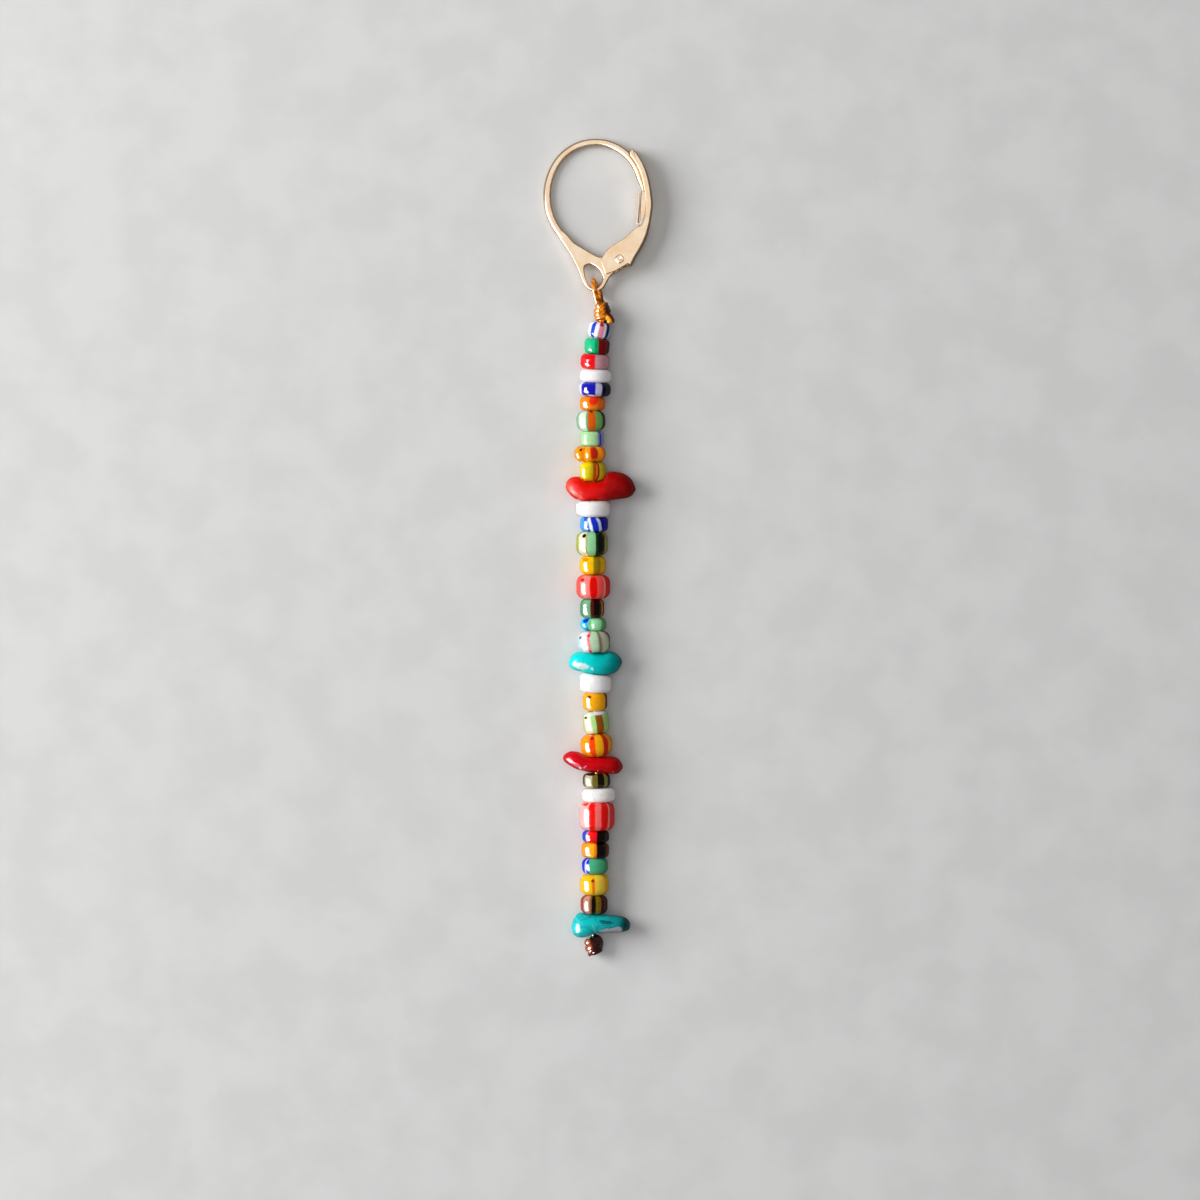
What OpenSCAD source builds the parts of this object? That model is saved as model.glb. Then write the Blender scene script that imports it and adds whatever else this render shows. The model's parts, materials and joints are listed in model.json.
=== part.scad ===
// Beaded drop earring on a lever-back hook, lying on its side.
// Millimetres. +Y runs from the string's end knot up to the hook, +Z away from the surface.

/* [Ear wire] */
// Diameter of the round ear wire
wire_d = 0.72; // [0.6:0.02:0.8]
// Radius of the bend over the ear, to the middle of the wire
crown_r = 4.65; // [4.5:0.05:4.8]
// Radius of the two flatter sides of the hoop
side_r = 6; // [5.8:0.05:6.2]
// Where the crown meets the front side, degrees round its centre
crown_front_deg = 150; // [145:1:155]
// Where the crown meets the back side
crown_back_deg = 22; // [18:1:26]
// Where the front side runs into the flat shank
shank_deg = 226; // [222:1:230]
// Where the back side is cut off, inside the lever
wire_end_deg = 3.5; // [2:0.5:8]

/* [Shank and ring] */
// Thickness of the flat shank and its ring
shank_t = 0.8; // [0.7:0.02:0.9]
// Radius of the round end of the shank, about the rivet
shank_end_r = 0.82; // [0.75:0.01:0.85]

/* [Lever] */
// Width of the channel over both cheeks
lever_w = 1.9; // [1.8:0.05:2.1]
// Thickness of the sheet that the lever is folded from
lever_t = 0.34; // [0.3:0.01:0.38]
// Diameter of the rivet's pin
rivet_d = 0.6; // [0.5:0.02:0.7]
// Diameter of the rivet's heads
rivet_head_d = 0.92; // [0.8:0.02:1]
// Height of each rivet head above its cheek
rivet_head_h = 0.1; // [0.06:0.01:0.14]
// Radial clearance where the shank turns on the rivet
pivot_gap = 0.04; // [0.02:0.01:0.08]
// Thickness of the leaf spring's strip
spring_t = 0.16; // [0.12:0.01:0.2]
// Width of the leaf spring
spring_w = 1; // [0.8:0.02:1.1]

/* [String] */
// Diameter of the waxed cord
cord_d = 0.48; // [0.4:0.01:0.5]
// Diameter of the hole through each bead
bore_d = 1; // [0.96:0.01:1.04]
// Space between neighbours on the string
bead_gap = 0.07; // [0.06:0.01:0.1]
// Where the first bead's upper end lies
string_top = 22.5; // [22.4:0.05:22.6]
// How far a small bead drops on the cord
bead_drop = 0.16; // [0.1:0.01:0.2]

/* [Stone chips] */
// Depth of the chips from the surface up
chip_depth = 2.9; // [2.6:0.05:3]
// Corners of a chip's section
chip_sides = 16; // [12:2:20]

/* [Hidden] */
$fn = 48;
CURVE_STEPS = 5;
BEND_SIDES = 96;
ROUND_SIDES = 24;
RIVET_FIT = 0.02;
CHANNEL_FOOT = [-3, -2.5];

GOLD = "#e8b878";
SPRING_COLOUR = "#f0d090";
RIVET_COLOUR = "#f2cf9c";
CORD_COLOUR = "#c56a12";
DARK_CORD_COLOUR = "#7a3418";

// The hook lies on the lever's broad cheek and on its thin ear wire, so it leans both ways.
PIVOT = [2.22, 28.81, 1.11];
HOOK_PITCH = -1.24;
HOOK_ROLL = -4.6;

wire_r = wire_d / 2;
cord_r = cord_d / 2;
bore_r = bore_d / 2;
knot_pitch = 0.9 * cord_d;

// Centres of the ear wire's three bends, measured from the rivet. Each is tangent to the next.
crown_at = [-2.57, 7.14];
front_at = crown_at - (side_r - crown_r) * [cos(crown_front_deg), sin(crown_front_deg)];
back_at = crown_at - (side_r - crown_r) * [cos(crown_back_deg), sin(crown_back_deg)];

// Outlines from the rivet, [across, along], joined by a smooth curve.
SHANK_OUTLINE = [
    [-6.61, 2.82], [-5.62, 1.44], [-4.95, 0.4], [-4.28, -0.93], [-3.9, -1.9], [-3.6, -2.54],
    [-3.13, -2.99], [-2.47, -3.19], [-1.92, -3.03], [-1.6, -2.71], [-1.32, -2.21], [-1.06, -1.77],
    [-0.55, -1.2], [-0.2, -0.6], [0, 0], [-0.3, 0.6], [-1.1, 0.42], [-1.98, 0.26], [-2.5, 0.42],
    [-3.38, 0.94], [-4.59, 1.67], [-5.25, 2.4], [-6.02, 3.23]
];
RING_HOLE = [
    [-3.63, -0.86], [-3.52, -1.66], [-3.24, -2.36], [-2.89, -2.76], [-2.53, -2.86], [-2.16, -2.7],
    [-1.82, -2.2], [-1.75, -1.8], [-1.98, -1.2], [-2.48, -0.7], [-3.03, -0.46], [-3.45, -0.56]
];
LEVER_BACK = [
    [1.08, -0.62], [1.5, 0.22], [2.0, 1.04], [2.42, 1.86], [2.72, 2.66], [2.96, 3.6], [3.12, 4.6],
    [3.21, 5.5], [3.12, 6.5], [2.94, 7.6], [2.62, 8.8], [2.2, 9.75], [1.62, 10.7]
];
LEVER_FRONT = [
    [1.27, 11.06], [1.0, 10.72], [1.13, 10.3], [1.54, 9.7], [1.98, 8.9], [2.3, 7.84], [2.5, 6.6],
    [2.58, 5.3], [2.52, 4.3], [2.35, 3.7], [2.1, 3.3], [1.81, 3.21], [1.24, 2.8], [0.58, 2.17],
    [-0.46, 1.51], [-1.0, 1.18], [-1.36, 0.78], [-1.66, 0.32]
];
LEVER_FOOT = [[-1.93, -0.1], [-1.46, -1.44], [-1.3, -1.47], [-0.5, -1.22], [0.54, -0.62], [1.02, -0.34]];
// The leaf spring: its free leaf, its fold, and the leaf that lies against the spine
SPRING_FREE_LEAF = [[1.82, 6.52], [1.73, 5.5], [1.7, 4.4]];
SPRING_BACK_LEAF = [[2.09, 4.4], [2.17, 5.3], [2.33, 6.1], [2.58, 6.8]];
SPRING_FOLD_AT = [1.885, 3.72];
SPRING_FOLD_R = 0.19;
SPRING_FOLD_STEP = 30;
// Where the channel's hollow stops short of the lever's tip
CHANNEL_TIP = [1.2, 10.74];

// The string from its top: name, length on the cord, diameter, place across, lean in degrees,
// radius of the rounded rim, lobes, turn of the lobes in degrees, main colour.
BEAD_ROWS = [
    ["bead_01", 1.555, 2.36, 0.18, -9, 0.55, 0, 0, "#e9e4ea"],
    ["bead_02", 1.495, 2.48, -0.12, -5, 0.5, 0, 0, "#17b07a"],
    ["bead_03", 1.455, 2.94, -0.31, -4, 0.6, 0, 0, "#e8202a"],
    ["bead_04", 1.245, 3.2, -0.25, -2, 0.5, 0, 0, "#eee7e6"],
    ["bead_05", 1.315, 3.2, -0.33, -3, 0.6, 0, 0, "#1a22b0"],
    ["bead_06", 1.365, 2.56, -0.57, -1, 0.6, 0, 0, "#f27a0c"],
    ["bead_07", 1.975, 2.9, -0.73, 2, 0.9, 0, 0, "#b9dcb4"],
    ["bead_08", 1.445, 2.32, -0.6, 1, 0.4, 0, 0, "#bfe3b4"],
    ["bead_09", 1.445, 3.24, -0.79, 0, 0.6, 5, 8, "#f98a06"],
    ["bead_10", 1.845, 2.66, -0.52, 0, 0.8, 4, -19, "#e6cc10"],
    ["coral_chip_11", 1.945, 0, 0, 0, 0, 0, 0, "#c8161a"],
    ["bead_12", 1.525, 3.46, -0.5, 0, 0.55, 0, 0, "#f0e4e0"],
    ["bead_13", 1.385, 2.78, -0.4, 0, 0.45, 0, 0, "#3a7ad8"],
    ["bead_14", 2.385, 3.16, -0.61, 0, 0.9, 0, 0, "#9ec79a"],
    ["bead_15", 1.835, 2.6, -0.53, 0, 0.75, 0, 0, "#f2c00a"],
    ["bead_16", 2.295, 3.38, -0.49, 0, 0.85, 0, 0, "#ee5a5a"],
    ["bead_17", 1.845, 2.4, -0.6, 0, 0.65, 0, 0, "#7ab184"],
    ["bead_18", 1.245, 2.7, -0.47, 0, 0.55, 3, 20, "#86cf9a"],
    ["bead_19", 2.145, 3.26, -0.44, 1, 0.9, 0, 0, "#e2e2d6"],
    ["turquoise_chip_20", 2.145, 0, 0, 0, 0, 0, 0, "#10c4c0"],
    ["bead_21", 1.705, 3.2, -0.24, -1, 0.5, 0, 0, "#ece8de"],
    ["bead_22", 1.745, 2.42, -0.31, 2, 0.65, 0, 0, "#f6a80a"],
    ["bead_23", 2.205, 2.6, -0.22, 6, 0.78, 0, 0, "#cfdcae"],
    ["bead_24", 2.185, 3.2, -0.16, 4, 1, 0, 0, "#f79a08"],
    ["coral_chip_25", 1.605, 0, 0, 0, 0, 0, 0, "#d0141c"],
    ["bead_26", 1.385, 2.74, -0.17, 1, 0.55, 0, 0, "#7a6a3a"],
    ["bead_27", 1.325, 3.42, 0.06, 2, 0.5, 0, 0, "#efe6e4"],
    ["bead_28", 2.795, 3.52, -0.13, 0, 0.85, 0, 0, "#ee3030"],
    ["bead_29", 1.145, 2.7, -0.24, 0, 0.5, 0, 0, "#1a1214"],
    ["bead_30", 1.465, 2.76, -0.28, -1, 0.55, 0, 0, "#f0a010"],
    ["bead_31", 1.535, 2.62, -0.31, 2, 0.65, 0, 0, "#3f9a68"],
    ["bead_32", 2.055, 2.86, -0.38, 0, 0.85, 0, 0, "#f2c212"],
    ["bead_33", 1.825, 2.7, -0.4, 0, 0.7, 0, 0, "#6a2e28"],
    ["turquoise_chip_34", 1.845, 0, 0, 0, 0, 0, 0, "#12b0b0"]
];
NAME = 0;
LENGTH = 1;
DIAMETER = 2;
ACROSS = 3;
LEAN = 4;
RIM = 5;
LOBES = 6;
LOBE_TURN = 7;
COLOUR = 8;

// The cord inside the beads, [across, along, up], from the top knot down to the end knot.
THREAD_ROUTE = [
    [0.36, 22.78, 1.2], [0.12, 21.6, 1.28], [-0.13, 20.1, 1.35], [-0.28, 18.5, 1.47],
    [-0.3, 17, 1.56], [-0.42, 15.6, 1.6], [-0.58, 14.2, 1.6], [-0.67, 12.4, 1.6],
    [-0.67, 9.8, 1.6], [-0.56, 7.2, 1.6], [-0.5, 4, 1.6], [-0.52, 1, 1.6], [-0.54, -3, 1.6],
    [-0.54, -6.4, 1.6], [-0.42, -9.4, 1.6], [-0.3, -13, 1.6], [-0.24, -17, 1.6],
    [-0.15, -21, 1.6], [-0.05, -24.4, 1.6], [-0.12, -27, 1.6], [-0.26, -30, 1.6],
    [-0.34, -32.6, 1.58], [-0.39, -34.6, 1.5], [-0.42, -36.6, 1.38],
    [-0.43, -38.8, 1.18]
];
// Knots of the same cord: where they sit, how they lean and how thick they are
TOP_KNOT_AT = [0.27, 23.59, 1.18];
TOP_KNOT_LEAN = 8;
TOP_KNOT_R = 0.76;
END_KNOT_AT = [-0.43, -39.86, 1.02];
END_KNOT_R = 0.96;
END_KNOT_CORE_R = 0.88;
KNOT_TURNS = 4;
// The cord's cut end beside the top knot
CORD_END_AT = [0.96, 23.12, 1.42];
CORD_END_TURN = [70, 0, 24];
CORD_END_LENGTH = 0.9;
CORD_END_SWELL = 0.06;
// The cord through the ring: over the bar, down through the hole, back under it.
LOOP_ROUTE = [
    [-0.02, 24.6, 1.34], [-0.13, 24.9, 1.43], [-0.2, 25.3, 1.58], [-0.3, 25.8, 1.65],
    [-0.4, 26.3, 1.54], [-0.45, 26.6, 1.22], [-0.46, 26.66, 0.9], [-0.38, 26.5, 0.52],
    [-0.2, 26.1, 0.31], [0.08, 25.7, 0.29], [0.26, 25.3, 0.5], [0.34, 24.94, 0.8],
    [0.37, 24.6, 0.96]
];

// Chips as sections from left to right: across, upper edge, lower edge. The edges are measured
// from the middle of the chip's stretch of cord, and pebble_depth() gives the depth.
CORAL_11 = [
    [-3.26, 0.44, 0.28], [-3.14, 0.86, 0], [-2.78, 1.26, -0.46], [-2.3, 1.4, -0.82],
    [-1.6, 1.16, -0.99], [-0.9, 0.92, -1], [-0.2, 0.9, -1], [0.45, 1, -1],
    [1, 1.66, -0.98], [1.6, 1.87, -0.9], [2.4, 1.74, -0.81], [2.96, 1.46, -0.73],
    [3.4, 1.03, -0.5], [3.66, 0.5, -0.15], [3.75, 0.22, 0.04]
];
TURQUOISE_20 = [
    [-2.93, 0.14, -0.04], [-2.8, 0.56, -0.36], [-2.42, 0.98, -0.6], [-1.9, 1.2, -0.76],
    [-1.5, 1.12, -0.81], [-0.8, 1.06, -0.94], [0, 1.05, -1.05], [0.6, 1.06, -1.09],
    [1.1, 1.18, -1.06], [1.6, 1.12, -0.95], [2, 0.88, -0.66], [2.28, 0.5, -0.25],
    [2.38, 0.24, 0.04]
];
CORAL_25 = [
    [-3.52, 0.74, 0.56], [-3.36, 1, 0.26], [-2.8, 1.3, -0.14], [-2.2, 1.3, -0.44],
    [-1.7, 1.13, -0.58], [-1.1, 0.8, -0.7], [-0.2, 0.76, -0.78], [0.6, 0.78, -0.83],
    [1.2, 0.8, -0.88], [1.7, 0.76, -0.92], [2.05, 0.55, -0.82], [2.33, 0.18, -0.58],
    [2.46, -0.1, -0.32]
];
TURQUOISE_34 = [
    [-2.66, -0.28, -0.52], [-2.57, 0.04, -0.86], [-2.42, 0.42, -1.16], [-2.1, 0.92, -1.38],
    [-1.65, 1.06, -1.41], [-1.15, 0.92, -1.31], [-0.6, 0.86, -1.1], [0, 0.87, -0.98],
    [0.9, 0.86, -0.94], [1.7, 0.77, -0.91], [2.4, 0.68, -0.83], [2.85, 0.43, -0.68],
    [3.1, 0.06, -0.42], [3.2, -0.1, -0.26]
];

// A pebble's depth at its ends, as a share of its full depth
PEBBLE_END = 0.1;
// Where the petals of melon beads are centred, as shares of the bead's radius
DEEP_GROOVES = 0.56;
SHALLOW_GROOVES = 0.4;

BEAD_COUNT = len(BEAD_ROWS);
METAL = ["hook_frame", "lever", "lever_spring", "rivet"];
CORDS = ["cord_loop", "top_knot", "thread", "end_knot"];

// Point at share u between p1 and p2 of a curve that passes through all four
function curve_point(p0, p1, p2, p3, u) = (
    2 * p1 + (p2 - p0) * u + (2 * p0 - 5 * p1 + 4 * p2 - p3) * u * u
    + (3 * p1 - p0 - 3 * p2 + p3) * u * u * u
) / 2;

// A smooth open line through the given points
function smooth_line(points, steps = CURVE_STEPS) =
    let (last = len(points) - 1)
    [
        for (i = [0 : last - 1], s = [0 : steps - 1])
            curve_point(
                points[max(i - 1, 0)], points[i], points[i + 1], points[min(i + 2, last)], s / steps
            ),
        points[last]
    ];

// A smooth closed outline through the given points
function smooth_loop(points, steps = CURVE_STEPS) =
    let (n = len(points))
    [
        for (i = [0 : n - 1], s = [0 : steps - 1])
            curve_point(
                points[(i + n - 1) % n], points[i], points[(i + 1) % n], points[(i + 2) % n], s / steps
            )
    ];

function unit(v) = v / norm(v);

// Direction of a line at its point i
function heading(line, i) =
    unit(line[min(i + 1, len(line) - 1)] - line[max(i - 1, 0)]);

// The same flat line moved sideways, to the left of its direction for a positive distance
function beside(line, distance) = [
    for (i = [0 : len(line) - 1])
        let (h = heading(line, i))
        line[i] + distance * [-h[1], h[0]]
];

function reversed(list) = [for (i = [len(list) - 1 : -1 : 0]) list[i]];

// Side walls and both ends of a solid made of equal rings of corners
function tube_faces(rings, sides) = concat(
    [
        for (r = [0 : rings - 2], s = [0 : sides - 1])
            let (t = (s + 1) % sides)
            [r * sides + s, r * sides + t, (r + 1) * sides + t, (r + 1) * sides + s]
    ],
    [[for (s = [sides - 1 : -1 : 0]) s]],
    [[for (s = [0 : sides - 1]) (rings - 1) * sides + s]]
);

// A round cord along a line whose direction is never the given sideways one
module cord_along(line, radius, sideways, sides = 8) {
    points = [
        for (i = [0 : len(line) - 1])
            let (
                h = heading(line, i),
                across = unit(cross(h, sideways)),
                up = cross(across, h)
            )
            for (s = [0 : sides - 1])
                let (a = 360 * s / sides)
                line[i] + radius * (cos(a) * across + sin(a) * up)
    ];
    polyhedron(points = points, faces = tube_faces(len(line), sides), convexity = 4);
}

// From the rivet's own frame to where the hook lies
module on_hook() {
    translate(PIVOT)
        rotate([HOOK_PITCH, HOOK_ROLL, 0])
            children();
}

module slab(thickness) {
    translate([0, 0, -thickness / 2])
        linear_extrude(thickness)
            children();
}

// A bend of round wire about a centre, from one direction to another
module wire_bend(centre, radius, from_deg, to_deg) {
    translate([centre[0], centre[1], 0])
        rotate([0, 0, from_deg])
            rotate_extrude(angle = to_deg - from_deg, $fn = BEND_SIDES)
                translate([radius, 0])
                    circle(r = wire_r, $fn = ROUND_SIDES);
}

module shank() {
    slab(shank_t)
        difference() {
            union() {
                polygon(smooth_loop(SHANK_OUTLINE));
                circle(r = shank_end_r);
            }
            polygon(smooth_loop(RING_HOLE));
            circle(d = rivet_d + 2 * pivot_gap);
        }
}

module hook_frame() {
    color(GOLD)
        on_hook()
            union() {
                wire_bend(crown_at, crown_r, crown_back_deg, crown_front_deg);
                wire_bend(front_at, side_r, crown_front_deg, shank_deg);
                wire_bend(back_at, side_r, wire_end_deg, crown_back_deg);
                shank();
            }
}

module lever() {
    back = smooth_line(LEVER_BACK);
    outline = concat(back, smooth_line(LEVER_FRONT), LEVER_FOOT);
    hollow = concat(
        [CHANNEL_FOOT, [LEVER_BACK[0][0] - lever_t, CHANNEL_FOOT[1]]],
        beside(back, lever_t),
        [CHANNEL_TIP, [CHANNEL_FOOT[0], CHANNEL_TIP[1]]]
    );
    color(GOLD)
        on_hook()
            difference() {
                slab(lever_w)
                    polygon(outline);
                slab(lever_w - 2 * lever_t)
                    polygon(hollow);
                cylinder(d = rivet_d + RIVET_FIT, h = 2 * lever_w, center = true);
            }
}

module lever_spring() {
    line = concat(
        smooth_line(SPRING_FREE_LEAF, 3),
        [for (a = [180 : SPRING_FOLD_STEP : 360]) SPRING_FOLD_AT + SPRING_FOLD_R * [cos(a), sin(a)]],
        smooth_line(SPRING_BACK_LEAF, 3)
    );
    color(SPRING_COLOUR)
        on_hook()
            slab(spring_w)
                polygon(concat(beside(line, spring_t / 2), reversed(beside(line, -spring_t / 2))));
}

module rivet() {
    head_z = lever_w / 2 + rivet_head_h / 2;
    color(RIVET_COLOUR)
        on_hook()
            union() {
                cylinder(d = rivet_d, h = lever_w + 2 * rivet_head_h, center = true);
                for (side = [-1, 1])
                    translate([0, 0, side * head_z])
                        cylinder(d = rivet_head_d, h = rivet_head_h, center = true);
            }
}

module cord_loop() {
    color(CORD_COLOUR)
        cord_along(smooth_line(LOOP_ROUTE, 3), cord_r, [1, 0, 0]);
}

// Half section of a knot: turns of cord side by side round a core
module wrapped_section(radius, turns) {
    half = knot_pitch * (turns - 1) / 2;
    translate([0, -half])
        square([radius - cord_r, 2 * half]);
    for (i = [0 : turns - 1])
        translate([radius - cord_r, i * knot_pitch - half])
            circle(r = cord_r, $fn = ROUND_SIDES);
}

module wrapped_knot(place, lean, radius, turns) {
    translate(place)
        rotate([-90, 0, lean])
            rotate_extrude()
                wrapped_section(radius, turns);
}

module top_knot() {
    color(CORD_COLOUR)
        union() {
            wrapped_knot(TOP_KNOT_AT, TOP_KNOT_LEAN, TOP_KNOT_R, KNOT_TURNS);
            translate(CORD_END_AT)
                rotate(CORD_END_TURN)
                    cylinder(r = cord_r + CORD_END_SWELL, h = CORD_END_LENGTH, center = true);
        }
}

module end_knot() {
    color(DARK_CORD_COLOUR)
        union() {
            wrapped_knot(END_KNOT_AT, 0, END_KNOT_R, KNOT_TURNS);
            translate(END_KNOT_AT)
                sphere(r = END_KNOT_CORE_R);
        }
}

module thread() {
    color(CORD_COLOUR)
        cord_along(smooth_line(THREAD_ROUTE, 2), cord_r, [1, 0, 0]);
}

// Where the middle of string piece i lies along Y
function stretch_before(i) = (i == 0) ? 0 : stretch_before(i - 1) + BEAD_ROWS[i - 1][LENGTH] + bead_gap;
function along(i) = string_top - stretch_before(i) - BEAD_ROWS[i][LENGTH] / 2;

// Height and sideways place of the cord at a place along Y
function cord_up(y) = lookup(y, [for (p = THREAD_ROUTE) [p[1], p[2]]]);
function cord_across(y) = lookup(y, [for (p = THREAD_ROUTE) [p[1], p[0]]]);

// Half section of a bead: a bar with rounded rims, open at the bore
module bead_section(length, radius, rim) {
    straight = length / 2 - rim;
    intersection() {
        translate([bore_r, -length / 2])
            square([radius - bore_r, length]);
        union() {
            translate([0, -length / 2])
                square([max(radius - rim, bore_r), length]);
            translate([0, -straight])
                square([radius, 2 * straight]);
            for (side = [-1, 1])
                translate([radius - rim, side * straight])
                    circle(r = rim);
        }
    }
}

// Petals round the cord that cut grooves into a melon bead
module petals(radius, count, turn, length) {
    reach = radius * ((count > 3) ? DEEP_GROOVES : SHALLOW_GROOVES);
    linear_extrude(2 * length, center = true) {
        circle(r = radius / 2);
        for (i = [0 : count - 1])
            rotate(turn + 360 * i / count)
                translate([0, reach])
                    circle(r = radius - reach);
    }
}

module bead_body(row) {
    radius = row[DIAMETER] / 2;
    if (row[LOBES] > 0) {
        intersection() {
            rotate_extrude()
                bead_section(row[LENGTH], radius, row[RIM]);
            petals(radius, row[LOBES], -row[LOBE_TURN], row[LENGTH]);
        }
    } else {
        rotate_extrude()
            bead_section(row[LENGTH], radius, row[RIM]);
    }
}

module bead(i) {
    row = BEAD_ROWS[i];
    y = along(i);
    up = max(row[DIAMETER] / 2, cord_up(y) - bead_drop);
    color(row[COLOUR])
        translate([row[ACROSS], y, up])
            rotate([90, 0, row[LEAN]])
                bead_body(row);
}

// Depth of a pebble, thin at both ends of its reach
function pebble_depth(x, low, high, depth) =
    let (share = abs(2 * (x - low) / (high - low) - 1))
    depth * max(PEBBLE_END, sqrt(1 - pow(share, 3)));

// A stone chip lofted through oval sections, drilled along the cord
module chip(i, rows) {
    y = along(i);
    last = len(rows) - 1;
    middle = chip_depth / 2;
    points = [
        for (row = rows)
            let (
                half = (row[1] - row[2]) / 2,
                centre = (row[1] + row[2]) / 2,
                deep = pebble_depth(row[0], rows[0][0], rows[last][0], chip_depth) / 2
            )
            for (s = [0 : chip_sides - 1])
                let (a = 360 * s / chip_sides)
                [row[0], y + centre + half * cos(a), middle - deep * sin(a)]
    ];
    color(BEAD_ROWS[i][COLOUR])
        difference() {
            polyhedron(points = points, faces = tube_faces(last + 1, chip_sides), convexity = 4);
            translate([cord_across(y), y, cord_up(y)])
                rotate([90, 0, 0])
                    cylinder(r = bore_r, h = 2 * chip_depth, center = true);
        }
}

// The sections of a chip, or none for a bead
function chip_rows(name) =
    (name == "coral_chip_11") ? CORAL_11
    : (name == "turquoise_chip_20") ? TURQUOISE_20
    : (name == "coral_chip_25") ? CORAL_25
    : (name == "turquoise_chip_34") ? TURQUOISE_34
    : [];

module string_piece(i) {
    rows = chip_rows(BEAD_ROWS[i][NAME]);
    if (len(rows) > 0) {
        chip(i, rows);
    } else {
        bead(i);
    }
}

hook_frame();
lever();
lever_spring();
rivet();
cord_loop();
top_knot();
thread();
end_knot();
for (i = [0 : BEAD_COUNT - 1])
    string_piece(i);
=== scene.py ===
"""Beaded drop earring, lying on its side: gold-filled leverback, waxed cord, glass beads, stone chips.

Every length in the classes is in millimetres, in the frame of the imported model, and is turned to
metres when a piece is made. The photograph has ten pixels to the millimetre.
"""

import json
import logging
import math
from collections.abc import Mapping, Sequence
from dataclasses import dataclass
from enum import Enum

import bmesh
import bpy
from bmesh.types import BMEdge, BMesh, BMFace, BMVert
from bpy.types import Collection, Material, Mesh, Node, NodeSocket, NodeTree, Object
from mathutils import Matrix, Vector, noise

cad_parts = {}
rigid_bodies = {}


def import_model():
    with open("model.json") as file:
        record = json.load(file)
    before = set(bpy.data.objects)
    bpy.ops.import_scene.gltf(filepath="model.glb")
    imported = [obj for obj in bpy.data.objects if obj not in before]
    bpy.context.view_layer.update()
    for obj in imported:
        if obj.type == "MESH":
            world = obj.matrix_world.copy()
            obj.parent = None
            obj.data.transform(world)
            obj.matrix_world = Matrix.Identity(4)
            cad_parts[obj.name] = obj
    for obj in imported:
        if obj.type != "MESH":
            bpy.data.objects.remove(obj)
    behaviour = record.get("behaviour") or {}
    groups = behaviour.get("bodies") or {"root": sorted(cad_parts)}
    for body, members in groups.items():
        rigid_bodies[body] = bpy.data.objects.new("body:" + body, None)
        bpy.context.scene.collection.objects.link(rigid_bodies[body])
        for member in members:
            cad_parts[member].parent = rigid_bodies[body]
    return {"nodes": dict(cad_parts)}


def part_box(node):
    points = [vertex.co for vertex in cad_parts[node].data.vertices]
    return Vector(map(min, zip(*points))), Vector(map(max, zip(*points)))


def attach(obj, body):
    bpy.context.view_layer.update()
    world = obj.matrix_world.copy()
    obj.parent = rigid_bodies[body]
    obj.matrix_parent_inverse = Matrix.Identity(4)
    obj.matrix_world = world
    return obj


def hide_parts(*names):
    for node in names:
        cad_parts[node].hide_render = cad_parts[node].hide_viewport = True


LOG = logging.getLogger("earring")
MM = 0.001
# Heights and gaps below this many millimetres count as none.
FLAT = 1e-5
# The filter width that all dents keep, in pixels.
FILTER_WIDTH = 0.1
# How far a cut end of cord bulges, as a share of its radius.
CUT_BULGE = 0.7
# Starts the noise, which would otherwise start from the clock.
SEED = 7
Colour = tuple[float, float, float, float]
Stops = tuple[tuple[float, str], ...]
Pair = tuple[float, float]
Triple = tuple[float, float, float]


class Rider(Enum):
    """The moving body that a piece goes with."""

    HOOK = "hook"
    LEVER = "lever"


class Slot(Enum):
    """The record's material slots."""

    GOLD = "gold_filled_metal"
    AMBER_CORD = "amber_waxed_cord"
    BROWN_CORD = "brown_waxed_cord"
    CORAL = "coral"
    TURQUOISE = "turquoise"
    WHITE = "white_glass"
    CREAM = "cream_striped_glass"
    GREEN = "green_glass"
    PALE_GREEN = "pale_green_glass"
    RED = "red_glass"
    BLUE = "blue_glass"
    ORANGE = "orange_glass"
    YELLOW = "yellow_glass"
    DARK = "dark_striped_glass"


def linear(code: str) -> Colour:
    """Turns an sRGB hex colour to the linear values that a shader takes.

    Args:
        code: The colour as #RRGGBB.

    Returns:
        Red, green, blue and an alpha of 1.
    """
    parts = [int(code[i : i + 2], 16) / 255 for i in (1, 3, 5)]
    red, green, blue = (p / 12.92 if p <= 0.04045 else ((p + 0.055) / 1.055) ** 2.4 for p in parts)
    return red, green, blue, 1.0


def plug(node: Node, values: Mapping[str | int, object]) -> None:
    """Sets or links a node's inputs.

    Args:
        node: The node.
        values: A value, or a socket to link from, for each named or numbered input.
    """
    for key, value in values.items():
        if isinstance(value, NodeSocket):
            node.id_data.links.new(value, node.inputs[key])
        else:
            node.inputs[key].default_value = value


def add_node(tree: NodeTree, kind: str, *values: object, **settings: object) -> NodeSocket:
    """Adds a node with its settings and its links.

    Args:
        tree: The tree that gets the node.
        kind: The node's type, without the words that all shader nodes begin with.
        values: A value, or a socket to link from, for each of its inputs in use, in order.
        settings: Properties of the node itself.

    Returns:
        The first of its outputs in use.
    """
    node = tree.nodes.new(f"ShaderNode{kind}")
    for name, value in settings.items():
        setattr(node, name, value)
    used = [key for key, socket in enumerate(node.inputs) if socket.enabled]
    plug(node, dict(zip(used, values, strict=False)))
    return next(socket for socket in node.outputs if socket.enabled)


def fill_ramp(ramp: Node, stops: Stops) -> None:
    """Puts colour stops on a colour ramp.

    Args:
        ramp: The colour ramp node.
        stops: Position and hex colour of each stop, in order.
    """
    elements = ramp.color_ramp.elements
    while len(elements) > 1:
        elements.remove(elements[-1])
    elements[0].position = stops[0][0]
    elements[0].color = linear(stops[0][1])
    for place, code in stops[1:]:
        elements.new(place).color = linear(code)


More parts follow.
